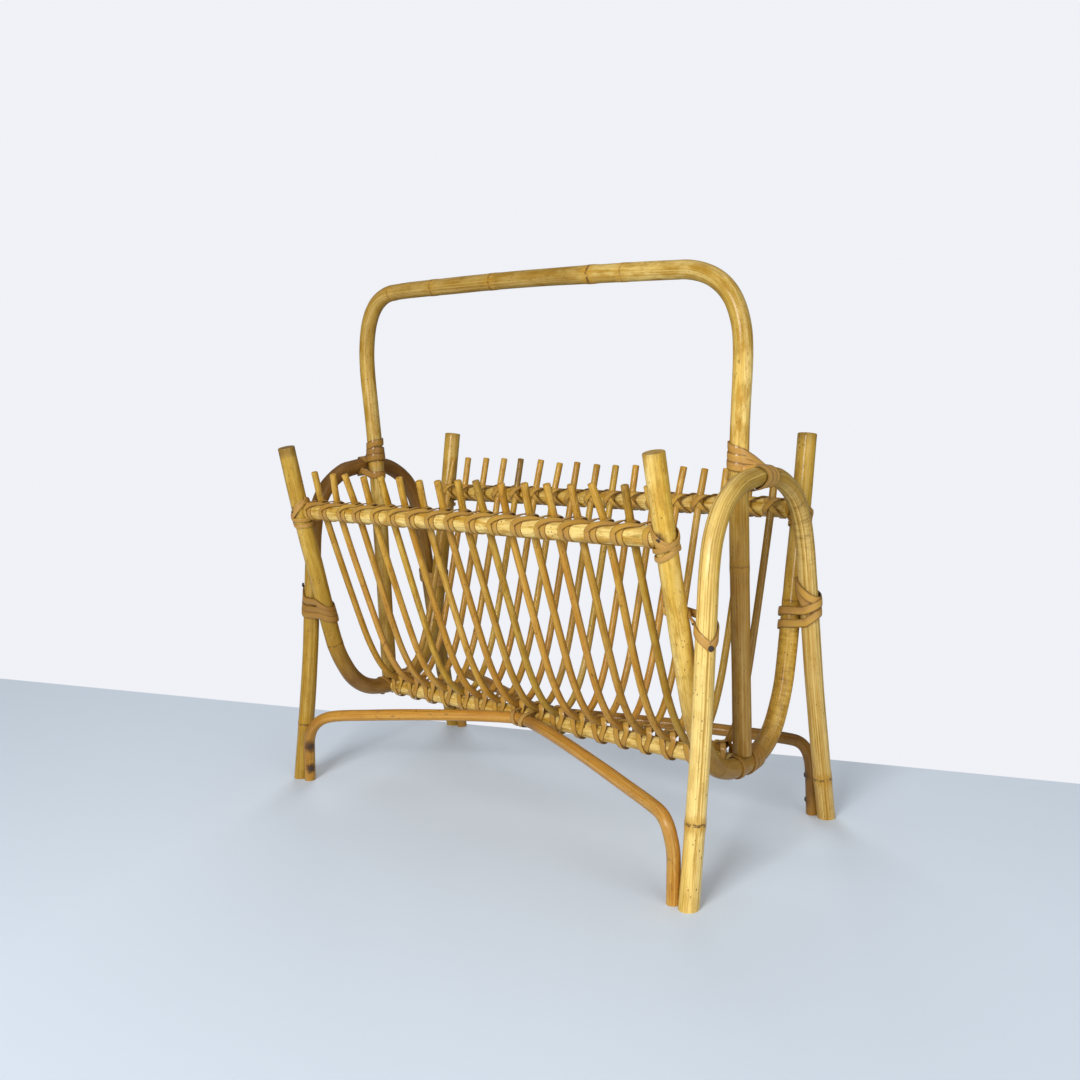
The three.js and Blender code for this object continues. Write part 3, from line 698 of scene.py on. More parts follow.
def places(piece):
    """Where a piece's points are, one row for each."""
    flat = np.zeros(len(piece.data.vertices) * 3, np.float32)
    piece.data.vertices.foreach_get("co", flat)
    return flat.reshape(-1, 3).astype(float)


def tones(length, along, table):
    """Olive, brown and orange at each place along a pole, from rows of share and three numbers."""
    shares = [row[0] for row in table]
    share = np.clip(along / length, 0, 1)
    return np.stack([np.interp(share, shares, [row[k] for row in table]) for k in (1, 2, 3)], axis=1)


def make_pole(name, points, radius, marks, table, seed, sides=20, ring=3 * MM, rim=0.7 * MM, feet=False):
    """A round pole: a cylinder with rims and joint rings, bent along its route by a curve."""
    line = smooth(points)
    if feet:
        first, last = unit(line[0] - line[1]), unit(line[-1] - line[-2])
        line = np.vstack([line[0] + first * FOOT_SPARE, line, line[-1] + last * FOOT_SPARE])
    length = float(np.linalg.norm(np.diff(line, axis=0), axis=1).sum())
    pole = add_cylinder(name, sides, radius, length)
    edit(pole, "FACE")
    if not feet:
        pick(pole, "polygons", lambda p: len(p.vertices) > 4)
        bpy.ops.mesh.bevel(offset=rim, segments=2, affect="EDGES")
    bpy.ops.mesh.select_mode(type="EDGE")
    total = max(int(length / ring), 4)
    first_cuts = min(max(int(math.sqrt(total)) - 1, 1), 60)
    ends = pole.data.vertices
    for cuts in (first_cuts, max(int(total / (first_cuts + 1)) - 1, 1)):
        pick(pole, "edges", lambda e: abs(ends[e.vertices[0]].co.z - ends[e.vertices[1]].co.z) > LONG_EDGE)
        bpy.ops.mesh.subdivide(number_cuts=cuts)
    bpy.ops.object.mode_set(mode="OBJECT")

    for place, strength in marks:
        swell(pole, place, length / total, JOINT_SWELL * strength)
    co = places(pole)
    draw = random.Random(seed)

    def wave(strength, turn):
        """A wave along the pole that starts anywhere."""
        return strength * np.sin(co[:, 2] * turn + draw.uniform(0, 6.28))

    thick = 1 + wave(*SLOW_WAVE) + wave(*QUICK_WAVE)
    co[:, 0] *= thick
    co[:, 1] *= thick * (1 + wave(*OVAL_WAVE))
    lay_out(pole, co, co + (0, PATTERN_STEP * seed, 0), table, co[:, 2], length)

    bend = bpy.data.curves.new(name + "_route", "CURVE")
    bend.dimensions, bend.twist_mode = "3D", "MINIMUM"
    spline = bend.splines.new("POLY")
    spline.points.add(len(line) - 1)
    spline.points.foreach_set("co", np.hstack([line, np.ones((len(line), 1))]).astype(np.float32).ravel())
    route = bpy.data.objects.new(name + "_route", bend)
    bpy.context.scene.collection.objects.link(route)
    bender = pole.modifiers.new("Route", "CURVE")
    bender.object, bender.deform_axis = route, "POS_Z"
    apply_all(pole)
    bpy.data.objects.remove(route)
    bpy.data.curves.remove(bend)
    if feet:
        edit(pole)
        bpy.ops.mesh.select_all(action="SELECT")
        bpy.ops.mesh.bisect(plane_co=(0, 0, 0), plane_no=(0, 0, 1), use_fill=True, clear_inner=True)
        bpy.ops.object.mode_set(mode="OBJECT")
    only(pole)
    bpy.ops.object.shade_smooth_by_angle(angle=POLE_CREASE)
    for p in pole.data.polygons:
        if len(p.vertices) > 6:
            p.use_smooth, p.material_index = False, 1
    return pole


def swell(pole, place, step, extra):
    """Thicken a pole a little round one of its joints."""
    for reach, share in SWELL_STEPS:
        edit(pole)
        pick(pole, "vertices", lambda v: abs(v.co.z - place) < reach * step)
        grow = 1 + extra * share
        bpy.ops.transform.resize(value=(grow, grow, 1), center_override=(0, 0, place))
    bpy.ops.object.mode_set(mode="OBJECT")


def stand_pole(name, kind, colours, skin, points, diameter, seed, node=None, slot=None, table=None, **form):
    """Make a pole, dress it and let it stand for its frame piece."""
    pith = bpy.data.materials.get("Pith") or pith_finish("Pith", colours)
    table = table or TONES.get(name, PLAIN)
    pole = make_pole(name + kind, points, diameter / 2, JOINTS.get(name, ()), table, seed, **form)
    keep(pole, node or name, slot or name + kind, skin, pith)


def make_strip(name, stations, width, thickness, seed=0, table=PLAIN):
    """Flat cane laid along stations, each with its place and the way its face turns."""
    spots = np.array([s[0] for s in stations])
    faces = np.array([s[1] for s in stations])
    rows = len(stations)
    strip = add(name, bpy.ops.mesh.primitive_grid_add, x_subdivisions=4, y_subdivisions=rows - 1, size=1)
    flat = places(strip)
    row = np.rint((flat[:, 1] + 0.5) * (rows - 1)).astype(int)
    side = flat[:, 0]
    run = np.zeros_like(spots)
    run[1:-1] = spots[2:] - spots[:-2]
    run[0], run[-1] = spots[1] - spots[0], spots[-1] - spots[-2]
    run /= np.linalg.norm(run, axis=1)[:, None]
    across = np.cross(faces, run)
    across /= np.linalg.norm(across, axis=1)[:, None]
    out = np.cross(run, across)
    along = np.concatenate([[0], np.cumsum(np.linalg.norm(np.diff(spots, axis=0), axis=1))])
    high = thickness / 2 + STRIP_CROWN * thickness * (0.5 - 4 * side * side)
    co = spots[row] + across[row] * (side * width)[:, None] + out[row] * high[:, None]
    straight = np.stack([side * width, np.full(len(side), PATTERN_STEP * seed), along[row]], axis=1)
    lay_out(strip, co, straight, table, along[row], along[-1])
    strip.data.flip_normals()
    wall = strip.modifiers.new("Thickness", "SOLIDIFY")
    wall.thickness, wall.offset = thickness, -1
    soft = strip.modifiers.new("Edges", "BEVEL")
    soft.width, soft.segments, soft.limit_method = STRIP_ROUND * thickness, 2, "ANGLE"
    soft.angle_limit = POLE_CREASE
    apply_all(strip)
    bpy.ops.object.shade_smooth_by_angle(angle=STRIP_CREASE)
    return strip


# Where bands lie on poles


def square_to(direction, run):
    """The direction, turned until it is square to a run."""
    return unit(direction - run * (direction @ run) / (run @ run))


class Held:
    """A short length of pole that a band lies on."""

    def __init__(self, spot, run, radius):
        self.spot, self.run, self.radius = spot, run, radius

    def seat(self, place, w, direction, lift=0.0):
        """Where the band lies at a level of the axis w, its face, and how far out that is."""
        across = self.run @ w
        centre = self.spot + self.run * ((place - self.spot) @ w / across)
        lean = direction - w * (direction @ self.run) / across
        face = square_to(lean, self.run)
        out = face * (self.radius + lift)
        spot = centre + out - self.run * (out @ w) / across
        return spot, face, (spot - place) @ direction


def band(origin, axes, poles, turns, along_at, layer, first=0.0):
    """Stations of a band wound round the outside of its poles, each turn a layer further out."""
    u, v, w = axes

    def seats(turn):
        angle = first + turn * math.tau
        place = origin + w * along_at(turn, angle)
        direction = u * math.cos(angle) + v * math.sin(angle)
        found = [pole.seat(place, w, direction, layer * turn) for pole in poles(place)]
        return found, max(range(len(found)), key=lambda k: found[k][2])

    count = math.ceil(turns * BAND_STEPS)
    found, held = seats(0)
    stations = [found[held][:2]]
    for i in range(1, count + 1):
        low, high = (i - 1) / count * turns, i / count * turns
        found, best = seats(high)
        if best != held:
            for _ in range(HALVINGS):
                mid = (low + high) / 2
                low, high = (mid, high) if seats(mid)[1] == held else (low, mid)
            swap = seats(high)[0]
            stations += [swap[held][:2], swap[best][:2]]
            held = best
        stations.append(found[best][:2])
    return without_crowding(stations)


def without_crowding(stations, least=0.25 * MM):
    """The stations without those that almost touch the one before."""
    kept = [stations[0]]
    for station in stations[1:]:
        if np.linalg.norm(station[0] - kept[-1][0]) > least:
            kept.append(station)
    return kept


def soften(stations, fine=3):
    """A smoother line through stations, with their faces carried along."""
    spots = smooth([s[0] for s in stations], fine)
    faces = smooth([s[1] for s in stations], fine)
    return [(s, unit(f)) for s, f in zip(spots, faces)]


def from_table(table, turn):
    """A strap's height or place at a turn, between the rows of its table."""
    return float(np.interp(turn, [row[0] for row in table], [row[1] for row in table]))


def clamp(share):
    return min(max(share, 0), 1)


def around(side, depth, angle):
    """The level direction at an angle from straight out to the side."""
    return point(side * math.cos(angle), depth * math.sin(angle), 0)


# Each corner: its side and depth, then its leg's nail: tilt, share of a turn, and rise above the
# crossing in pitches
CORNERS = {
    "front_left": (-1, -1, 1, 0.1, 1.4),
    "front_right": (1, -1, 0, 0.088, 1.65),
    "rear_left": (-1, 1, 1, 0.1, 0.6),
    "rear_right": (1, 1, 1, 0.115, 2.95),
}
# Bands wound round a leg and its post: turns, first share of a turn, and rises at some turns
LEG_BANDS = {
    "front_left": (2.9, -0.12, [(0, 1.5), (0.5, -1), (1.5, -1.7), (2.9, -3.1)]),
    "rear_left": (2.1, 0.08, [(0, 0.6), (2.1, -1.5)]),
}
WRAP_PITCH = 5.4 * MM
BAND_TILT = 4 * MM
# Steps for each turn, halvings between two poles, and how far a band lies off them in all and for
# each turn
BAND_STEPS, HALVINGS = 36, 18
BAND_LIFT, BAND_LAYER = 0.35 * MM, 0.22 * MM
# Half the height over which a leg's slope is read
SLOPE_REACH = 5 * MM
# How far the listed straps float off their poles, in mm, and the least distance of their stations
STRAP_LIFT, STRAP_STEP = 0.2, 0.6 * MM
# How far a nail stands out of a strap or a pole, how deep one sits in a shin, and its turn there
NAIL_PROUD, NAIL_SUNK, NAIL_TURN = 0.3 * MM, 0.35 * MM, math.radians(25)
FOUR_TURNS = np.arange(0, 4.001, 1 / 30)


def leg_pole(plan, kind, corner, z, lift=0.0):
    """The loop or the arch at a corner, near one height."""
    side, depth = CORNERS[corner][:2]
    outline = getattr(plan, kind)
    rise = depth * (outline.out_at(z + SLOPE_REACH) - outline.out_at(z - SLOPE_REACH))
    spot = point(side * getattr(plan, kind + "_x"), depth * outline.out_at(z), z)
    return Held(spot, point(0, rise, 2 * SLOPE_REACH), getattr(plan.poles, kind) / 2 + lift)


def leg_band(plan, corner):
    """Stations of a band wound round a leg and its post."""
    side, depth = CORNERS[corner][:2]
    turns, first, rises = LEG_BANDS[corner]
    lift = plan.cane.thickness / 2 + BAND_LIFT

    def poles(place):
        return [leg_pole(plan, kind, corner, place[2], lift) for kind in ("loop", "arch")]

    def rise(turn, angle):
        return from_table(rises, turn) * WRAP_PITCH + BAND_TILT * math.cos(angle)

    out = depth * plan.arch.out_at(plan.cross_z)
    origin = point(side * (plan.loop_x + plan.arch_x) / 2, out, plan.cross_z)
    axes = point(side, 0, 0), point(0, depth, 0), point(0, 0, 1)
    return band(origin, axes, poles, turns, rise, BAND_LAYER, first * math.tau)


# Straps laid one by one, pole by pole: degrees from straight out to the side, height and layer in mm
STRAPS = {
    "front_right": (
        ("loop", (-200, 200, 0), (-20, 197, 0)), ("arch", (160, 191, 0), (32, 176.6, 0), (-90, 193, 0.4)),
        ("loop", (-90, 197.5, 0.6), (-200, 201, 0.6)),
    ),
    "rear_right": (
        ("loop", (-40, 198, 0)),
        ("arch", (-112, 187, 0), (-90, 183, 0), (-62, 180, 0), (-30, 178, 0.1), (28, 176, 0.2),
         (90, 171, 0.3)),
        ("loop", (90, 166, 0.3), (180, 160.6, 0.4), (208, 161.3, 0.5), (270, 162.9, 0.6)),
        ("arch", (270, 167.5, 0.8), (298, 170.5, 0.9), (330, 173.2, 0.9), (360, 174.3, 0.9), (388, 175, 0.9),
         (450, 175, 0.9)),
        ("loop", (450, 172, 0.9), (540, 170.8, 0.9), (568, 171.5, 1), (630, 172.8, 1.1)),
        ("arch", (630, 177.5, 1.4), (658, 179.3, 1.6), (690, 181, 1.7), (720, 182, 1.7), (748, 182.6, 1.6),
         (810, 187, 1.0), (855, 192, 0.3), (900, 197, 0), (928, 199, 0.3), (960, 196, 0.6), (990, 192, 0.8),
         (1018, 187.9, 0.9), (1050, 185.2, 0.9), (1108, 182, 0.7), (1170, 180, 0.9)),
        ("loop", (1170, 177, 0.9), (1230, 176, 0.7)),
    ),
}
# Straps by their turns: how high, or how far along, each lies at some turns, in mm
POST_STRAP = [
    (0, 11), (0.12, 7), (0.25, 1.2), (0.5, -6), (0.75, -10), (1, -13), (1.25, -12.4), (1.5, -6), (1.75, 3),
    (2, 9), (2.12, 5), (2.25, -2), (2.5, -6.5), (2.75, -8), (3, -7.6), (3.25, -6), (3.5, -1.5), (3.75, 5.5),
    (4, 12),
]
FOOT_STRAP = [(0, 17), (0.5, 20.5), (1, 13), (1.5, 16.2), (2, 9), (2.5, 12), (3, 3), (3.5, -11), (4, -8)]
TIE_STRAP = [(0, 0), (0.25, -6), (0.5, -8), (0.75, -4.5), (1, -2), (1.25, 6), (1.5, 9), (1.75, 4.5), (2, 1)]
# The handle's strap in three strands: a strand's first and last height on the handle and its place
# along the crown, in mm, then the height at which the left strap ends
HANDLE_STRANDS = ((306.5, 301.6, 11), (299.2, 296.9, 6), (293.2, 290.6, 0))
HANDLE_TAIL = 276
# How far one strand lies over another, in mm
STRAND_LAYER = 0.4
# How far the tie lies from the middles of the rail and of a brace, and each turn over the last
TIE_RAIL, TIE_BRACE, TIE_LAYER = 8.4 * MM, 5.8 * MM, 0.2 * MM
# How far off its post a strap starts and climbs with each turn, and how far off the loop's bottom
# one lies, with the stretch over which the loop's slope is read
POST_LIFT, POST_LAYER = 0.2 * MM, 0.3 * MM
FOOT_LIFT, FOOT_STRETCH = 0.25 * MM, 4.6 * MM
# How near the binding lies to the rails and to the spindles
SNUG, BESIDE = 0.1 * MM, 0.2 * MM
SHIN_NAILS = {"_brace_nail_lower": 12 * MM, "_brace_nail_upper": 33 * MM}


def strap_round_leg(plan, corner):
    """Stations of a strap given one by one round a leg and its post."""
    rows = [(pole, *row) for pole, *group in STRAPS[corner] for row in group]
    fine = [rows[0]]
    for (pole, a, z, up), (after, b, high, above) in zip(rows, rows[1:]):
        count = max(round(abs(b - a) / 10), 1) if pole == after else 1
        fine += [(after, a + (b - a) * k / count, z + (high - z) * k / count, up + (above - up) * k / count)
                 for k in range(1, count + 1)]
    stations = []
    for pole, degrees, height, layer in fine:
        held = leg_pole(plan, pole, corner, height * MM)
        face = square_to(around(*CORNERS[corner][:2], math.radians(degrees)), held.run)
        reach = held.radius + plan.cane.thickness / 2 + (STRAP_LIFT + layer) * MM
        stations.append((held.spot + face * reach, face))
    return soften(without_crowding(stations, STRAP_STEP), 2)


def leg_nail(plan, corner):
    """The place and the face of the nail through a leg's strap."""
    side, depth, tilt, turn, rise = CORNERS[corner]
    angle = turn * math.tau
    height = plan.cross_z + rise * WRAP_PITCH + tilt * BAND_TILT * math.cos(angle)
    pole = leg_pole(plan, "arch", corner, height)
    face = square_to(around(side, depth, angle), pole.run)
    return pole.spot + face * (pole.radius + plan.cane.thickness + NAIL_PROUD), face


def post_nail(plan, side, depth):
    """The place of the nail through a post into its top rail."""
    return point(side * plan.loop_x, (plan.post_y + plan.poles.loop / 2 + NAIL_PROUD) * depth, plan.rail_z)


def shin_nail(plan, side, depth, z):
    """The place and the face of a nail in a brace's shin, turned a little to its front or back."""
    face = around(-side, depth, NAIL_TURN if side < 0 and depth < 0 else -NAIL_TURN)
    centre = point(side * (plan.arch_x - BRACE_INSET), (ARCH_FOOT_Y - SHIN_LEAN * z / SHIN_Z) * depth, z)
    return centre + face * (plan.poles.brace / 2 - NAIL_SUNK), face


def handle_band(plan, side):
    """A strap in three strands round the handle and over the arch's crown."""
    stations = []

    def lay(spot, face, diameter, layer):
        reach = diameter / 2 + plan.cane.thickness / 2 + (STRAP_LIFT + layer) * MM
        stations.append((spot + face * reach, face))

    def on_handle(degrees, height, layer):
        spot = point(side * plan.handle_x(height * MM), 0, height * MM)
        lay(spot, around(side, 1, math.radians(degrees)), plan.poles.handle, layer)

    def on_crown(degrees, y, layer):
        turn = math.radians(degrees)
        spot = point(side * plan.arch_x, y * MM, plan.arch.height_at(abs(y) * MM))
        lay(spot, point(side * math.cos(turn), 0, math.sin(turn)), plan.poles.arch, layer)

    for k, (high, low, y) in enumerate(HANDLE_STRANDS):
        layer = STRAND_LAYER * k
        drop = -1 if k == 0 else 10 if side > 0 else 2
        for degrees in range(-240, -39, 10):
            share = clamp((degrees + 140) / 100)
            early = clamp((-180 - degrees) / 60)
            on_handle(degrees, high + (low - high) * share - drop * early ** (2 if k else 1), layer)
        for degrees in range(80, -161, -12):
            share = (80 - degrees) / 240
            bow = math.sin(math.pi * min(share * 1.25, 1))
            on_crown(degrees, y - 3 + 4.5 * bow - (9 if k == 2 else 4) * max(share - 0.35, 0) / 0.65, layer)
        if k == 2 and side < 0:
            for degrees in range(-100, -241, -10):
                on_handle(degrees, HANDLE_TAIL, 0)
    return soften(without_crowding(stations, STRAP_STEP), 2)


def post_band(plan, side, depth):
    """A strap crossed over a post and the end of its top rail."""
    lean = math.atan2(LOOP_TOP_Y - plan.post_y, LOOP_TOP_Z - plan.rail_z)
    up = point(0, math.sin(lean) * depth, math.cos(lean))
    out = point(0, math.cos(lean) * depth, -math.sin(lean))
    origin = point(side * plan.loop_x, plan.post_y * depth, plan.rail_z)
    reach = plan.poles.loop / 2 + POST_LIFT + plan.cane.thickness / 2
    stations = []
    for turn in FOUR_TURNS:
        face = point(-side, 0, 0) * math.cos(turn * math.tau) + out * math.sin(turn * math.tau)
        height = from_table(POST_STRAP, turn) * MM
        stations.append((origin + face * (reach + POST_LAYER * turn) + up * height, face))
    return soften(stations, 2)


def foot_band(plan, side):
    """A strap round the bottom of a loop, on both sides of the handle's foot."""
    reach = plan.poles.loop / 2 + FOOT_LIFT + plan.cane.thickness / 2
    stations = []
    for turn in FOUR_TURNS:
        y = from_table(FOOT_STRAP, turn) * MM
        z = plan.loop.height_at(abs(y))
        rise = plan.loop.height_at(abs(y) + FOOT_STRETCH) - z
        angle = turn * math.tau - math.pi
        across = point(side * math.sin(angle), 0, math.cos(angle))
        face = square_to(across, point(0, FOOT_STRETCH, rise if y > 0 else -rise))
        stations.append((point(side * plan.loop_x, y, z) + face * reach, face))
    return soften(stations, 2)


def tie_band(plan):
    """The tie of both braces, wound round them and the bottom rail."""
    run, z = point(1, 0, 0), plan.bottom_z + BRACE_RISE
    poles = [Held(point(0, 0, plan.bottom_z), run, TIE_RAIL)]
    poles += [Held(point(0, y, z), run, TIE_BRACE) for y in (-BRACE_ASIDE, BRACE_ASIDE)]
    origin, axes = point(-plan.pitch / 2, 0, plan.bottom_z), (point(0, 1, 0), point(0, 0, 1), run)
    return band(
        origin, axes, lambda place: poles, 2, lambda turn, angle: from_table(TIE_STRAP, turn) * MM,
        TIE_LAYER, -math.pi / 2,
    )


def binding(plan, centre, u, v, radius, rise_at, shifts, drawn=False):
    """Two crossing turns of flat cane over each spindle, side by side or drawn together below."""
    half = plan.poles.spindle / 2
    reach = radius + plan.cane.thickness / 4 + SNUG
    beside = half + plan.cane.binding / 2 + BESIDE
    over = radius + GAP + 2 * half + plan.cane.thickness / 2 + SNUG
    outer = 0.5 * MM if drawn else plan.cane.binding / 2 + GAP
    low = beside * (0.6 if drawn else 1)
    track = []

    def cross(x, way, lift):
        """Down over the spindle on the slant, from the top of the rail to its bottom."""
        rows = [(-beside, radius * 0.35, reach * 0.94), (-beside * 0.8, over - half, reach * 0.72)]
        if drawn:
            rows[0] = (-beside * 0.95, radius * 0.8, reach * 0.82)
            rows.insert(0, (-beside * 0.62, radius * 0.08, reach))
        rows += [(-beside * 0.42, over, reach * 0.36), (0, over, 0)]
        rows += [(-a, b, -c) for a, b, c in reversed(rows[:-1])]
        for a, b, c in rows:
            height = b + lift * (1 if b > over - half / 2 else 0.3)
            if b > radius * 0.5:
                height += rise_at(abs(c))
            track.append((x + a * way, height, c))

    def round_up(x_bottom, x_face, x_top, lift):
        """Under the rail, straight up its outer side and then along over its top."""
        for angle in range(270, 89, -12):
            under, above = clamp((angle - 225) / 45), clamp((150 - angle) / 60)
            x = x_face + (x_bottom - x_face) * under ** (1 if drawn else 2) + (x_top - x_face) * above ** 1.5
            away = reach + lift * (1 - under if drawn else math.sin(math.pi * above))
            turn = math.radians(angle)
            track.append((x, away * math.cos(turn), away * math.sin(turn)))

    for i in range(SPINDLES):
        x = plan.spindle_x(i) + shifts[i]
        cross(x, 1, 0.0)
        round_up(x + low, x + outer, x + low, 0.0)
        cross(x, -1, plan.cane.thickness)
        if i < SPINDLES - 1:
            after = plan.spindle_x(i + 1) + shifts[i + 1] - low
            round_up(x - low, x - outer, after, 1.6 * plan.cane.thickness)
    stations = []
    for x, out, up in track:
        spot = centre + u * out + v * up
        spot[0] = x
        stations.append((spot, unit(u * out + v * up)))
    return soften(without_crowding(stations, 0.4 * MM), 3)


# The pieces

SIDES = ((-1, "left"), (1, "right"))
# The joints of each pole: a place along it and a strength
JOINTS = {
    "handle": (
        (0.212, 0.9), (0.388, 0.6), (0.445, 0.7), (0.517, 0.7), (0.623, 1.0), (0.655, 0.6), (0.95, 0.5),
    ),
    "left_arch": ((0.058, 0.8), (0.31, 0.6), (0.60, 0.8)),
    "right_arch": ((0.066, 1.0), (0.6255, 0.9)),
    "left_loop": ((0.19, 0.6), (0.37, 0.7), (0.60, 0.7)),
    "right_loop": ((0.245, 0.5), (0.43, 0.6)),
}
# How olive, brown and orange each piece is, at shares of its length; some of the brown is painted shade, as
# noted at its rows
TONES = {
    "handle": (
        (0, 0.8, 0.3, 0), (0.175, 0.65, 0.05, 0), (0.185, 0.6, 0.45, 0), (0.195, 0.6, 0.05, 0),
        (0.25, 0.55, 0, 0), (0.31, 0.9, 0.08, 0.1), (0.4, 0.95, 0.12, 0.15), (0.48, 0.95, 0.13, 0.15),
        (0.55, 0.95, 0.18, 0.1), (0.57, 0.65, 0.02, 0), (0.61, 0.35, 0, 0), (0.66, 0.6, 0.05, 0),
        (0.71, 0.55, 0.12, 0), (0.74, 0.02, 0, 0), (0.8, 0.05, 0, 0), (0.84, 0.5, 0.1, 0.2),
        (0.88, 0.75, 0.28, 0.45), (1, 0.7, 0.35, 0.45),
    ),
    # The left arch's dark reddish brown over its crown (0.37 to 0.64) is partly its own colour and partly
    # painted shade
    "left_arch": (
        (0, 0.8, 0.04, 0), (0.3, 0.85, 0.08, 0.1), (0.37, 0.2, 0.6, 0.9), (0.44, 0, 0.95, 1), (0.52, 0, 1, 1),
        (0.64, 0.2, 0.9, 0.9), (0.72, 0.7, 0.5, 0.3), (1, 0.7, 0.05, 0),
    ),
    "right_arch": (
        (0, 0.02, 0, 0), (0.3, 0, 0, 0), (0.4, 0.22, 0.01, 0), (0.47, 0.75, 0.15, 0), (0.6, 0.6, 0.14, 0.1),
        (0.66, 0.3, 0.02, 0.15), (0.8, 0.38, 0.02, 0.2), (1, 0.55, 0.1, 0.35),
    ),
    "left_loop": (
        (0, 0.5, 0.75, 0), (0.011, 0.5, 0.6, 0), (0.018, 0.5, 0.05, 0), (0.15, 0.45, 0, 0),
        (0.31, 0.9, 0.05, 0), (0.36, 0.8, 0.5, 0.2), (0.41, 0.4, 0.9, 0.6), (0.5, 0.4, 0.75, 0.6),
        (0.6, 0.7, 0.1, 0.1), (0.99, 0.5, 0.05, 0), (1, 0.5, 0.4, 0),
    ),
    "right_loop": (
        (0, 0.1, 0.4, 0), (0.004, 0.1, 0.04, 0), (0.04, 0.03, 0, 0), (0.17, 0.12, 0, 0), (0.3, 0.15, 0, 0),
        (0.42, 0.7, 0.42, 0.3), (0.54, 0.65, 0.5, 0.4), (0.6, 0.14, 0.02, 0.3), (0.72, 0.03, 0, 0.15),
        (0.9, 0.35, 0, 0), (0.985, 0.4, 0.05, 0), (1, 0.4, 0.6, 0),
    ),
    # The front brace's brown at its middle (0.49 to 0.52), beside the tie, is partly a stain and partly
    # painted shade
    "front_brace": (
        (0, 0.5, 0.3, 0.6), (0.07, 0.5, 0.35, 0.7), (0.1, 0.4, 0.45, 0.8), (0.16, 0.3, 0.05, 0.8),
        (0.3, 0.2, 0, 0.9), (0.47, 0.25, 0.1, 0.9), (0.49, 0.2, 0.6, 0.9), (0.52, 0.2, 0.6, 0.9),
        (0.55, 0.15, 0.2, 0.95), (0.7, 0.1, 0.08, 0.9), (0.84, 0.1, 0.15, 0.95), (0.9, 0.05, 0.25, 0.95),
        (1, 0, 0.02, 0.8),
    ),
    # The rear brace's extra brown towards its right foot (0.84 to 0.95) is painted shade over its own reddish
    # brown
    "rear_brace": (
        (0, 0.3, 0.45, 0.8), (0.75, 0.3, 0.5, 0.8), (0.84, 0.4, 0.85, 0.6), (0.95, 0.3, 0.9, 0.6),
        (1, 0.3, 0.5, 0.8),
    ),
    "warm_cane": ((0, 0.05, 0, 0.1), (1, 0.05, 0, 0.15)),
    "brown_cane": ((0, 0.4, 0.3, 0.3), (0.5, 0.4, 0.42, 0.3), (1, 0.45, 0.3, 0.3)),
    "post_cane": ((0, 0.3, 0.15, 0.1), (0.4, 0.1, 0.02, 0.1), (0.75, 0.35, 0.12, 0.2), (1, 0.3, 0.1, 0.1)),
}


class BASKET_OT_handle(bpy.types.Operator):
    """Bend the carrying handle from one loop's bottom to the other's"""

    bl_idname = "basket.handle"
    bl_label = "Handle"

    def execute(self, context):
        plan, colours = settings_of(context)
        skin = rattan_finish("handle", colours, pale=0.5, grooves=0.45)
        stand_pole("handle", "_pole", colours, skin, plan.handle_points(), plan.poles.handle, seed=1)
        return {"FINISHED"}


class BASKET_OT_arches(bpy.types.Operator):
    """Bend the two arched legs and level their feet"""

    bl_idname = "basket.arches"
    bl_label = "Leg arches"

    def execute(self, context):
        plan, colours = settings_of(context)
        looks = ((0.1, 0.5, 0.9, None), (0.6, 1.0, 0.45, (0.36, 0.435)))
        for (side, name), (pale, grooves, mottle, crackle) in zip(SIDES, looks):
            arch = name + "_arch"
            skin = rattan_finish(arch, colours, pale, grooves, mottle, specks=1.3, fibre=1.3, crackle=crackle)
            route = both_sides(mirrored(arch_half(side * plan.arch_x)))
            stand_pole(
                arch, "_pole", colours, skin, route, plan.poles.arch, 3 + side, arch + "_legs", feet=True
            )
        return {"FINISHED"}


class BASKET_OT_loops(bpy.types.Operator):
    """Bend the two end loops whose ends are the corner posts"""

    bl_idname = "basket.loops"
    bl_label = "End loops"

    def execute(self, context):
        plan, colours = settings_of(context)
        for side, name in SIDES:
            loop = name + "_loop"
            # Brown round the post nails: dark nail holes with painted shadow round them
            nails = [(tuple(post_nail(plan, side, depth)), 7 * MM, 0.8) for depth in (-1, 1)]
            skin = rattan_finish(
                loop, colours, pale=0.18 + 0.08 * side, grooves=0.2, mottle=0.8, specks=1.3, fibre=0.7,
                crackle=(0.31, 0.40) if side > 0 else None, stains_and_shadow=nails,
            )
            route = both_sides(mirrored(loop_half(side * plan.loop_x, plan.bottom_z)))
            stand_pole(
                loop, "_pole", colours, skin, route, plan.poles.loop, 6 + side,
                name + "_end_loop", "loop_pole",
            )
        return {"FINISHED"}


class BASKET_OT_rails(bpy.types.Operator):
    """Cut the two top rails and the bottom rail"""

    bl_idname = "basket.rails"
    bl_label = "Rails"

    def execute(self, context):
        plan, colours = settings_of(context)
        end = plan.loop_x - plan.poles.loop / 2 - GAP
        rails = {
            "front_top_rail": (-plan.rail_y, plan.rail_z, plan.poles.top_rail, "rail_pole", 0.78),
            "rear_top_rail": (plan.rail_y, plan.rail_z, plan.poles.top_rail, "rail_pole", 0.4),
            "bottom_rail": (0, plan.bottom_z, plan.poles.bottom_rail, "bottom_rail_pole", 0.62),
        }
        for k, (name, (y, z, diameter, slot, pale)) in enumerate(rails.items()):
            skin = rattan_finish(name, colours, pale, grooves=0.4, mottle=1.1, specks=1.5)
            route = [point(x, y, z) for x in np.linspace(-end, end, 6)]
            stand_pole(name, "_pole", colours, skin, route, diameter, 9 + k, slot=slot, ring=6 * MM)
        return {"FINISHED"}


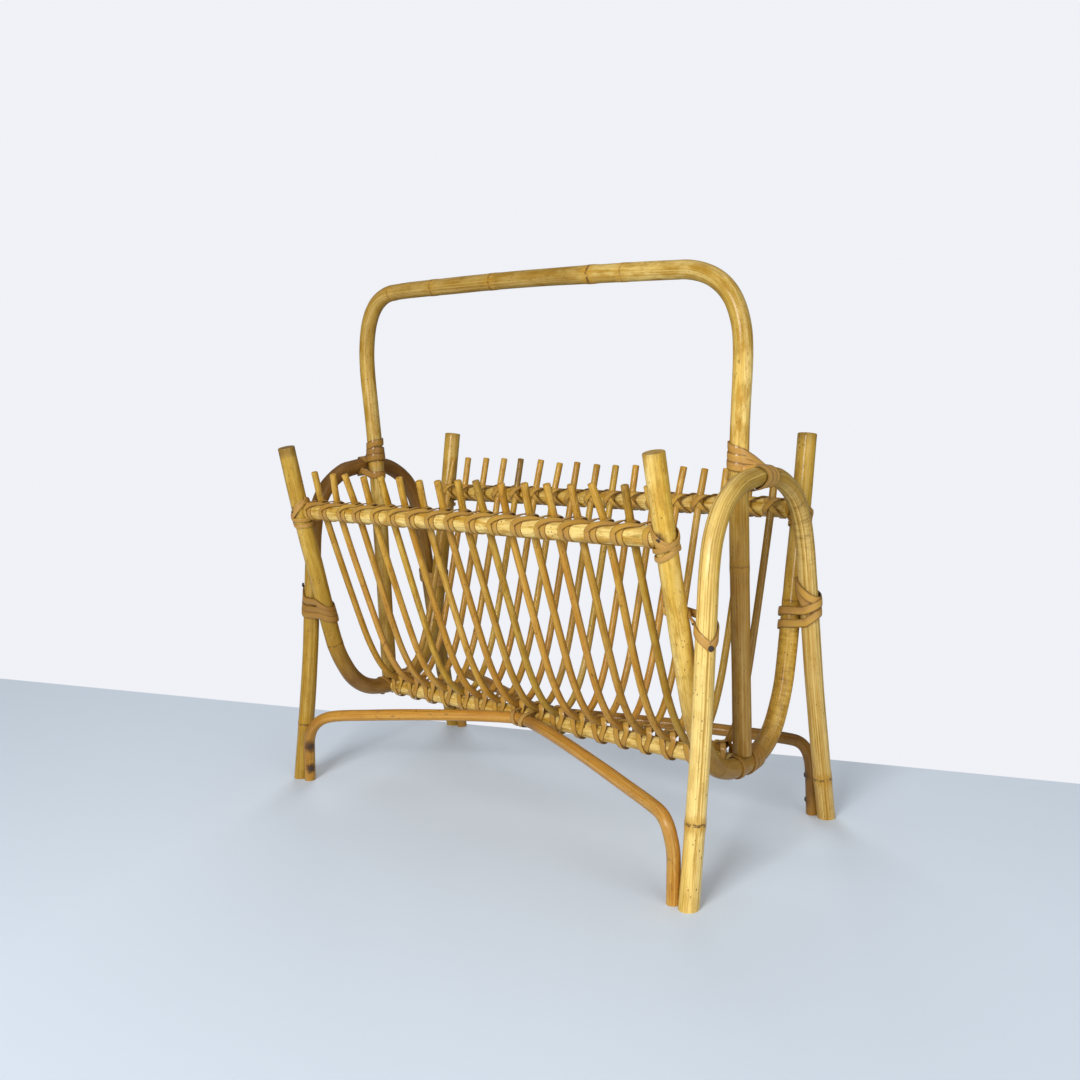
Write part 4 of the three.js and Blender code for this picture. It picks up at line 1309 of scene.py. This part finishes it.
class BASKET_OT_spindles(bpy.types.Operator):
    """Bend the thin spindles into a V under their rails"""

    bl_idname = "basket.spindles"
    bl_label = "Spindles"

    def execute(self, context):
        plan, colours = settings_of(context)
        skin = rattan_finish(
            "spindles", colours, pale=0.1, grooves=0.3, mottle=1.3, specks=0.9, fibre=0.9, ring_gap=0.117
        )
        dice = random.Random(17)
        for i in range(SPINDLES):
            x = plan.spindle_x(i)
            front, rear = [
                plan.spindle_half(x, SPINDLE_TIP_Z - short[i] * MM, tip_aside[i] * MM, held_aside[i] * MM)
                for short, tip_aside, held_aside in (FRONT_LEAN, REAR_LEAN)
            ]
            warm, dull = dice.uniform(0.0, 0.8), dice.uniform(0.2, 0.8)
            stain = 0.5 if i in (9, 15) else 0.06
            rear_stain = 0.9 if i == 4 else 0.08
            rear_brown = 0.5 if i == SPINDLES - 1 else 0
            table = [
                (0, dull * 0.4, stain, warm * 0.4), (0.05, dull * 0.5, stain * 0.2, warm * 0.5),
                (0.3, dull, 0, warm), (0.44, dull, 0.04, warm), (0.485, dull + 0.3, 0.34, warm),
                (0.53, dull, 0.1, warm), (0.7, dull, rear_brown, warm * 0.8),
                (0.92, dull * 0.8, rear_brown, warm * 0.6), (0.95, dull * 0.7, rear_stain, warm * 0.5),
                (1, dull * 0.6, rear_stain, warm * 0.5),
            ]
            stand_pole(
                f"spindle_{i + 1:02d}", "_cane", colours, skin, [*mirrored(front), *rear[-2::-1]],
                plan.poles.spindle, 20 + i, slot="spindle_cane", table=table,
                sides=12, ring=4 * MM, rim=0.5 * MM,
            )
        return {"FINISHED"}


class BASKET_OT_braces(bpy.types.Operator):
    """Bend the two long braces from foot to foot"""

    bl_idname = "basket.braces"
    bl_label = "Braces"

    def execute(self, context):
        plan, colours = settings_of(context)
        for depth, brace in ((-1, "front_brace"), (1, "rear_brace")):
            nails = [
                (tuple(shin_nail(plan, side, depth, z)[0]), 5.5 * MM + 0.08 * z, 1)
                for side in (-1, 1) for z in SHIN_NAILS.values()
            ]
            skin = rattan_finish(
                brace, colours, pale=0.0, grooves=0.3, mottle=1.5, fibre=1.2, ring_gap=0.13, stains_and_shadow=nails
            )
            stand_pole(
                brace, "_cane", colours, skin, plan.brace_points(depth), plan.poles.brace, 41 + depth,
                sides=16, ring=2.5 * MM, feet=True,
            )
        return {"FINISHED"}


class BASKET_OT_bindings(bpy.types.Operator):
    """Wind flat cane along the three rails, crossing over each spindle"""

    bl_idname = "basket.bindings"
    bl_label = "Rail bindings"

    def execute(self, context):
        plan, colours = settings_of(context)
        skin = cane_finish("Cane_binding", colours, colours.binding, plan.cane.binding)

        def wind(rail, seed, *route):
            stations = binding(plan, *route)
            strip = make_strip(rail + "_cane", stations, plan.cane.binding, plan.cane.thickness * 0.6, seed)
            keep(strip, rail + "_binding", "binding_strip", skin)

        cos, sin = math.cos(plan.tilt), math.sin(plan.tilt)
        for rail, depth, lean in (("front_rail", -1, FRONT_LEAN), ("rear_rail", 1, REAR_LEAN)):
            centre, shifts = point(0, plan.rail_y * depth, plan.rail_z), [a * MM for a in lean[2]]
            u, v = point(0, -cos * depth, sin), point(0, sin * depth, cos)
            wind(rail, 50 + depth, centre, u, v, plan.poles.top_rail / 2, lambda out: 0, shifts)

        half = smooth(plan.spindle_half(0), 12)
        half = half[np.argsort(half[:, 1])]

        def rise(out):
            return float(np.interp(out + 2 * MM, half[:, 1], half[:, 2])) - plan.spindle_bottom_z

        centre, u, v = point(0, 0, plan.bottom_z), point(0, 0, 1), point(0, 1, 0)
        wind("bottom_rail", 53, centre, u, v, plan.poles.bottom_rail / 2, rise, [0] * SPINDLES, True)
        return {"FINISHED"}


class BASKET_OT_lashings(bpy.types.Operator):
    """Lash the posts, the legs, the handle, the handle's feet and the braces"""

    bl_idname = "basket.lashings"
    bl_label = "Lashings"

    def execute(self, context):
        plan, colours = settings_of(context)
        width, thickness = plan.cane.width, plan.cane.thickness
        skin = cane_finish("Cane_lashing", colours, colours.strip, width)
        # The tie is darkened all over by depth, partly as a stain and partly as painted shade
        dark = cane_finish("Cane_tie", colours, colours.strip, plan.cane.tie, depth=0.2)

        def lay(place, stations, broad, thin, seed, tone):
            strip = make_strip(place + "_cane", stations, width * broad, thickness * thin, seed, TONES[tone])
            keep(strip, place + "_lashing", "lashing_strip", skin)

        for k, (corner, (side, depth, *_)) in enumerate(CORNERS.items()):
            lay(corner + "_post", post_band(plan, side, depth), 0.6, 0.8, 60 + k, "post_cane")
            laid = strap_round_leg(plan, corner) if corner in STRAPS else leg_band(plan, corner)
            broad = 1.12 if corner == "rear_right" else 1
            lay(corner + "_leg", laid, broad, 1, 65 + k, "brown_cane" if k == 0 else "warm_cane")
        for side, name in SIDES:
            tone = "warm_cane" if side > 0 else "brown_cane"
            lay(name + "_handle", handle_band(plan, side), 1.1, 0.8, 70 + side, tone)
            lay(name + "_foot", foot_band(plan, side), 0.75, 1, 73 + side, "brown_cane")
        strip = make_strip("brace_tie_cane", tie_band(plan), plan.cane.tie, thickness, seed=76)
        keep(strip, "brace_tie", "tie_strip", dark)
        return {"FINISHED"}


class BASKET_OT_nails(bpy.types.Operator):
    """Drive in the nails: low heads with a soft rim"""

    bl_idname = "basket.nails"
    bl_label = "Nails"

    def execute(self, context):
        plan, colours = settings_of(context)
        steel = nail_finish("Nail_steel", colours)
        radius = plan.cane.nail / 2
        first = add_cylinder("nail", 16, radius, 0.8 * MM)
        edit(first, "FACE")
        pick(first, "polygons", lambda p: p.normal.z > 0.9)
        for inset, rise in ((0.3, 0.3), (0.35, 0.15), (0.12, -0.12)):
            bpy.ops.mesh.inset(thickness=inset * radius)
            bpy.ops.transform.translate(value=(0, 0, rise * MM))
        only(first)
        bpy.ops.object.shade_smooth_by_angle(angle=math.radians(60))
        for corner, (side, depth, *_) in CORNERS.items():
            spots = {"_leg_nail": leg_nail(plan, corner)}
            spots["_post_nail"] = (post_nail(plan, side, depth), point(0, depth, 0))
            for name, z in SHIN_NAILS.items():
                spots[name] = shin_nail(plan, side, depth, z)
            for name, (spot, face) in spots.items():
                mesh = first.data.copy()
                turn = Vector((0, 0, 1)).rotation_difference(Vector(face)).to_matrix().to_4x4()
                mesh.transform(Matrix.Translation(Vector(spot)) @ turn)
                nail = bpy.data.objects.new(corner + name + "_head", mesh)
                bpy.context.scene.collection.objects.link(nail)
                keep(nail, corner + name, "nail_steel", steel)
        bpy.data.objects.remove(first)
        return {"FINISHED"}


class BASKET_OT_stage(bpy.types.Operator):
    """Set the pale floor, the soft lamps and the camera"""

    bl_idname = "basket.stage"
    bl_label = "Stage"

    def execute(self, context):
        scene, settings = context.scene, context.scene.basket_stage
        scene.view_settings.view_transform = "Standard"
        floor = add("Floor", bpy.ops.mesh.primitive_plane_add, size=1)
        corners = [(-2.4, -2.6, 0), (2.6, -2.6, 0), (-2.4, -0.615, 0), (2.6, 1.025, 0)]
        for vertex, place in zip(floor.data.vertices, corners):
            vertex.co = place
        f = Finish("Floor_lacquer")
        tint = f.blend(f.noise(f.here(), 3.0) * 0.5, settings.floor, [0.96 * c for c in settings.floor])
        floor.data.materials.append(f.finish(tint, 0.6, shine=0.0))

        scene.world = bpy.data.worlds.new("Room")
        scene.world.use_nodes = True
        room = Nodes(scene.world.node_tree)
        room.tree.nodes.clear()
        soft = room.node("ShaderNodeBackground", None, {0: (1.0, 0.98, 0.95), 1: settings.sky}).outputs[0]
        seen = room.node("ShaderNodeBackground", None, {0: settings.backdrop}).outputs[0]
        from_camera = room.node("ShaderNodeLightPath").outputs["Is Camera Ray"]
        mix = room.node("ShaderNodeMixShader", None, {0: from_camera, 1: soft, 2: seen}).outputs[0]
        room.node("ShaderNodeOutputWorld", None, {0: mix})

        lamps = {
            "Window": ((0.5, -1.9, 0.9), 0.8, 1, (1.0, 0.99, 0.97)),
            "Fill": ((1.7, -0.5, 0.7), 1.2, 0.28, (0.97, 0.98, 1.0)),
            "Top": ((0.0, 0.1, 1.7), 1.2, 0.1, (1.0, 1.0, 1.0)),
            "Back": ((-1.5, 1.5, 0.9), 1.2, 0.6, (1.0, 1.0, 1.0)),
        }
        for name, (spot, size, share, tint) in lamps.items():
            lamp = bpy.data.lights.new(name, "AREA")
            lamp.size, lamp.energy, lamp.color = size, settings.window * share, tint
            holder = bpy.data.objects.new(name, lamp)
            scene.collection.objects.link(holder)
            holder.location = spot
            holder.visible_glossy = name != "Back"
            aim = Vector((0, 0, 0.2)) - Vector(spot)
            holder.rotation_euler = aim.to_track_quat("-Z", "Y").to_euler()

        view = bpy.data.cameras.new("View")
        view.lens, view.sensor_width = settings.lens, 36
        view.clip_start, view.clip_end = 0.02, 50
        camera = bpy.data.objects.new("View", view)
        scene.collection.objects.link(camera)
        right = (0.74598378, 0.66479327, -0.03947283)
        up = (-0.06346673, 0.12996959, 0.98948465)
        back = (0.66293, -0.73563, 0.13915)
        turn = Matrix((right, up, back)).transposed().to_4x4()
        camera.matrix_world = Matrix.Translation((0.61995, -0.68093, 0.35448)) @ turn
        scene.camera = camera
        return {"FINISHED"}


class BASKET_PT_sidebar(bpy.types.Panel):
    """Sizes, colours and the pieces of the basket"""

    bl_label = "Magazine Basket"
    bl_idname = "BASKET_PT_sidebar"
    bl_space_type = "VIEW_3D"
    bl_region_type = "UI"
    bl_category = "Basket"

    def draw(self, context):
        scene = context.scene
        for group in (scene.basket_poles, scene.basket_cane, scene.basket_colours, scene.basket_stage):
            box = self.layout.box()
            for name in group.__annotations__:
                box.prop(group, name)
        for kind in PIECES:
            self.layout.operator(kind.bl_idname)


GROUPS = {
    "basket_poles": BasketPoleSizes,
    "basket_cane": BasketCaneSizes,
    "basket_colours": BasketColours,
    "basket_stage": BasketStage,
}
PIECES = [
    BASKET_OT_handle,
    BASKET_OT_arches,
    BASKET_OT_loops,
    BASKET_OT_rails,
    BASKET_OT_spindles,
    BASKET_OT_braces,
    BASKET_OT_bindings,
    BASKET_OT_lashings,
    BASKET_OT_nails,
    BASKET_OT_stage,
]


def register():
    for kind in [*GROUPS.values(), *PIECES, BASKET_PT_sidebar]:
        bpy.utils.register_class(kind)
    for name, kind in GROUPS.items():
        setattr(bpy.types.Scene, name, bpy.props.PointerProperty(type=kind))


def unregister():
    for name in GROUPS:
        delattr(bpy.types.Scene, name)
    for kind in reversed([*GROUPS.values(), *PIECES, BASKET_PT_sidebar]):
        bpy.utils.unregister_class(kind)


def main():
    register()
    for kind in PIECES:
        group, name = kind.bl_idname.split(".")
        if getattr(getattr(bpy.ops, group), name)() != {"FINISHED"}:
            raise RuntimeError(kind.bl_label + " was not finished")
    only()
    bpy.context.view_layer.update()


if __name__ == "__main__":
    main()
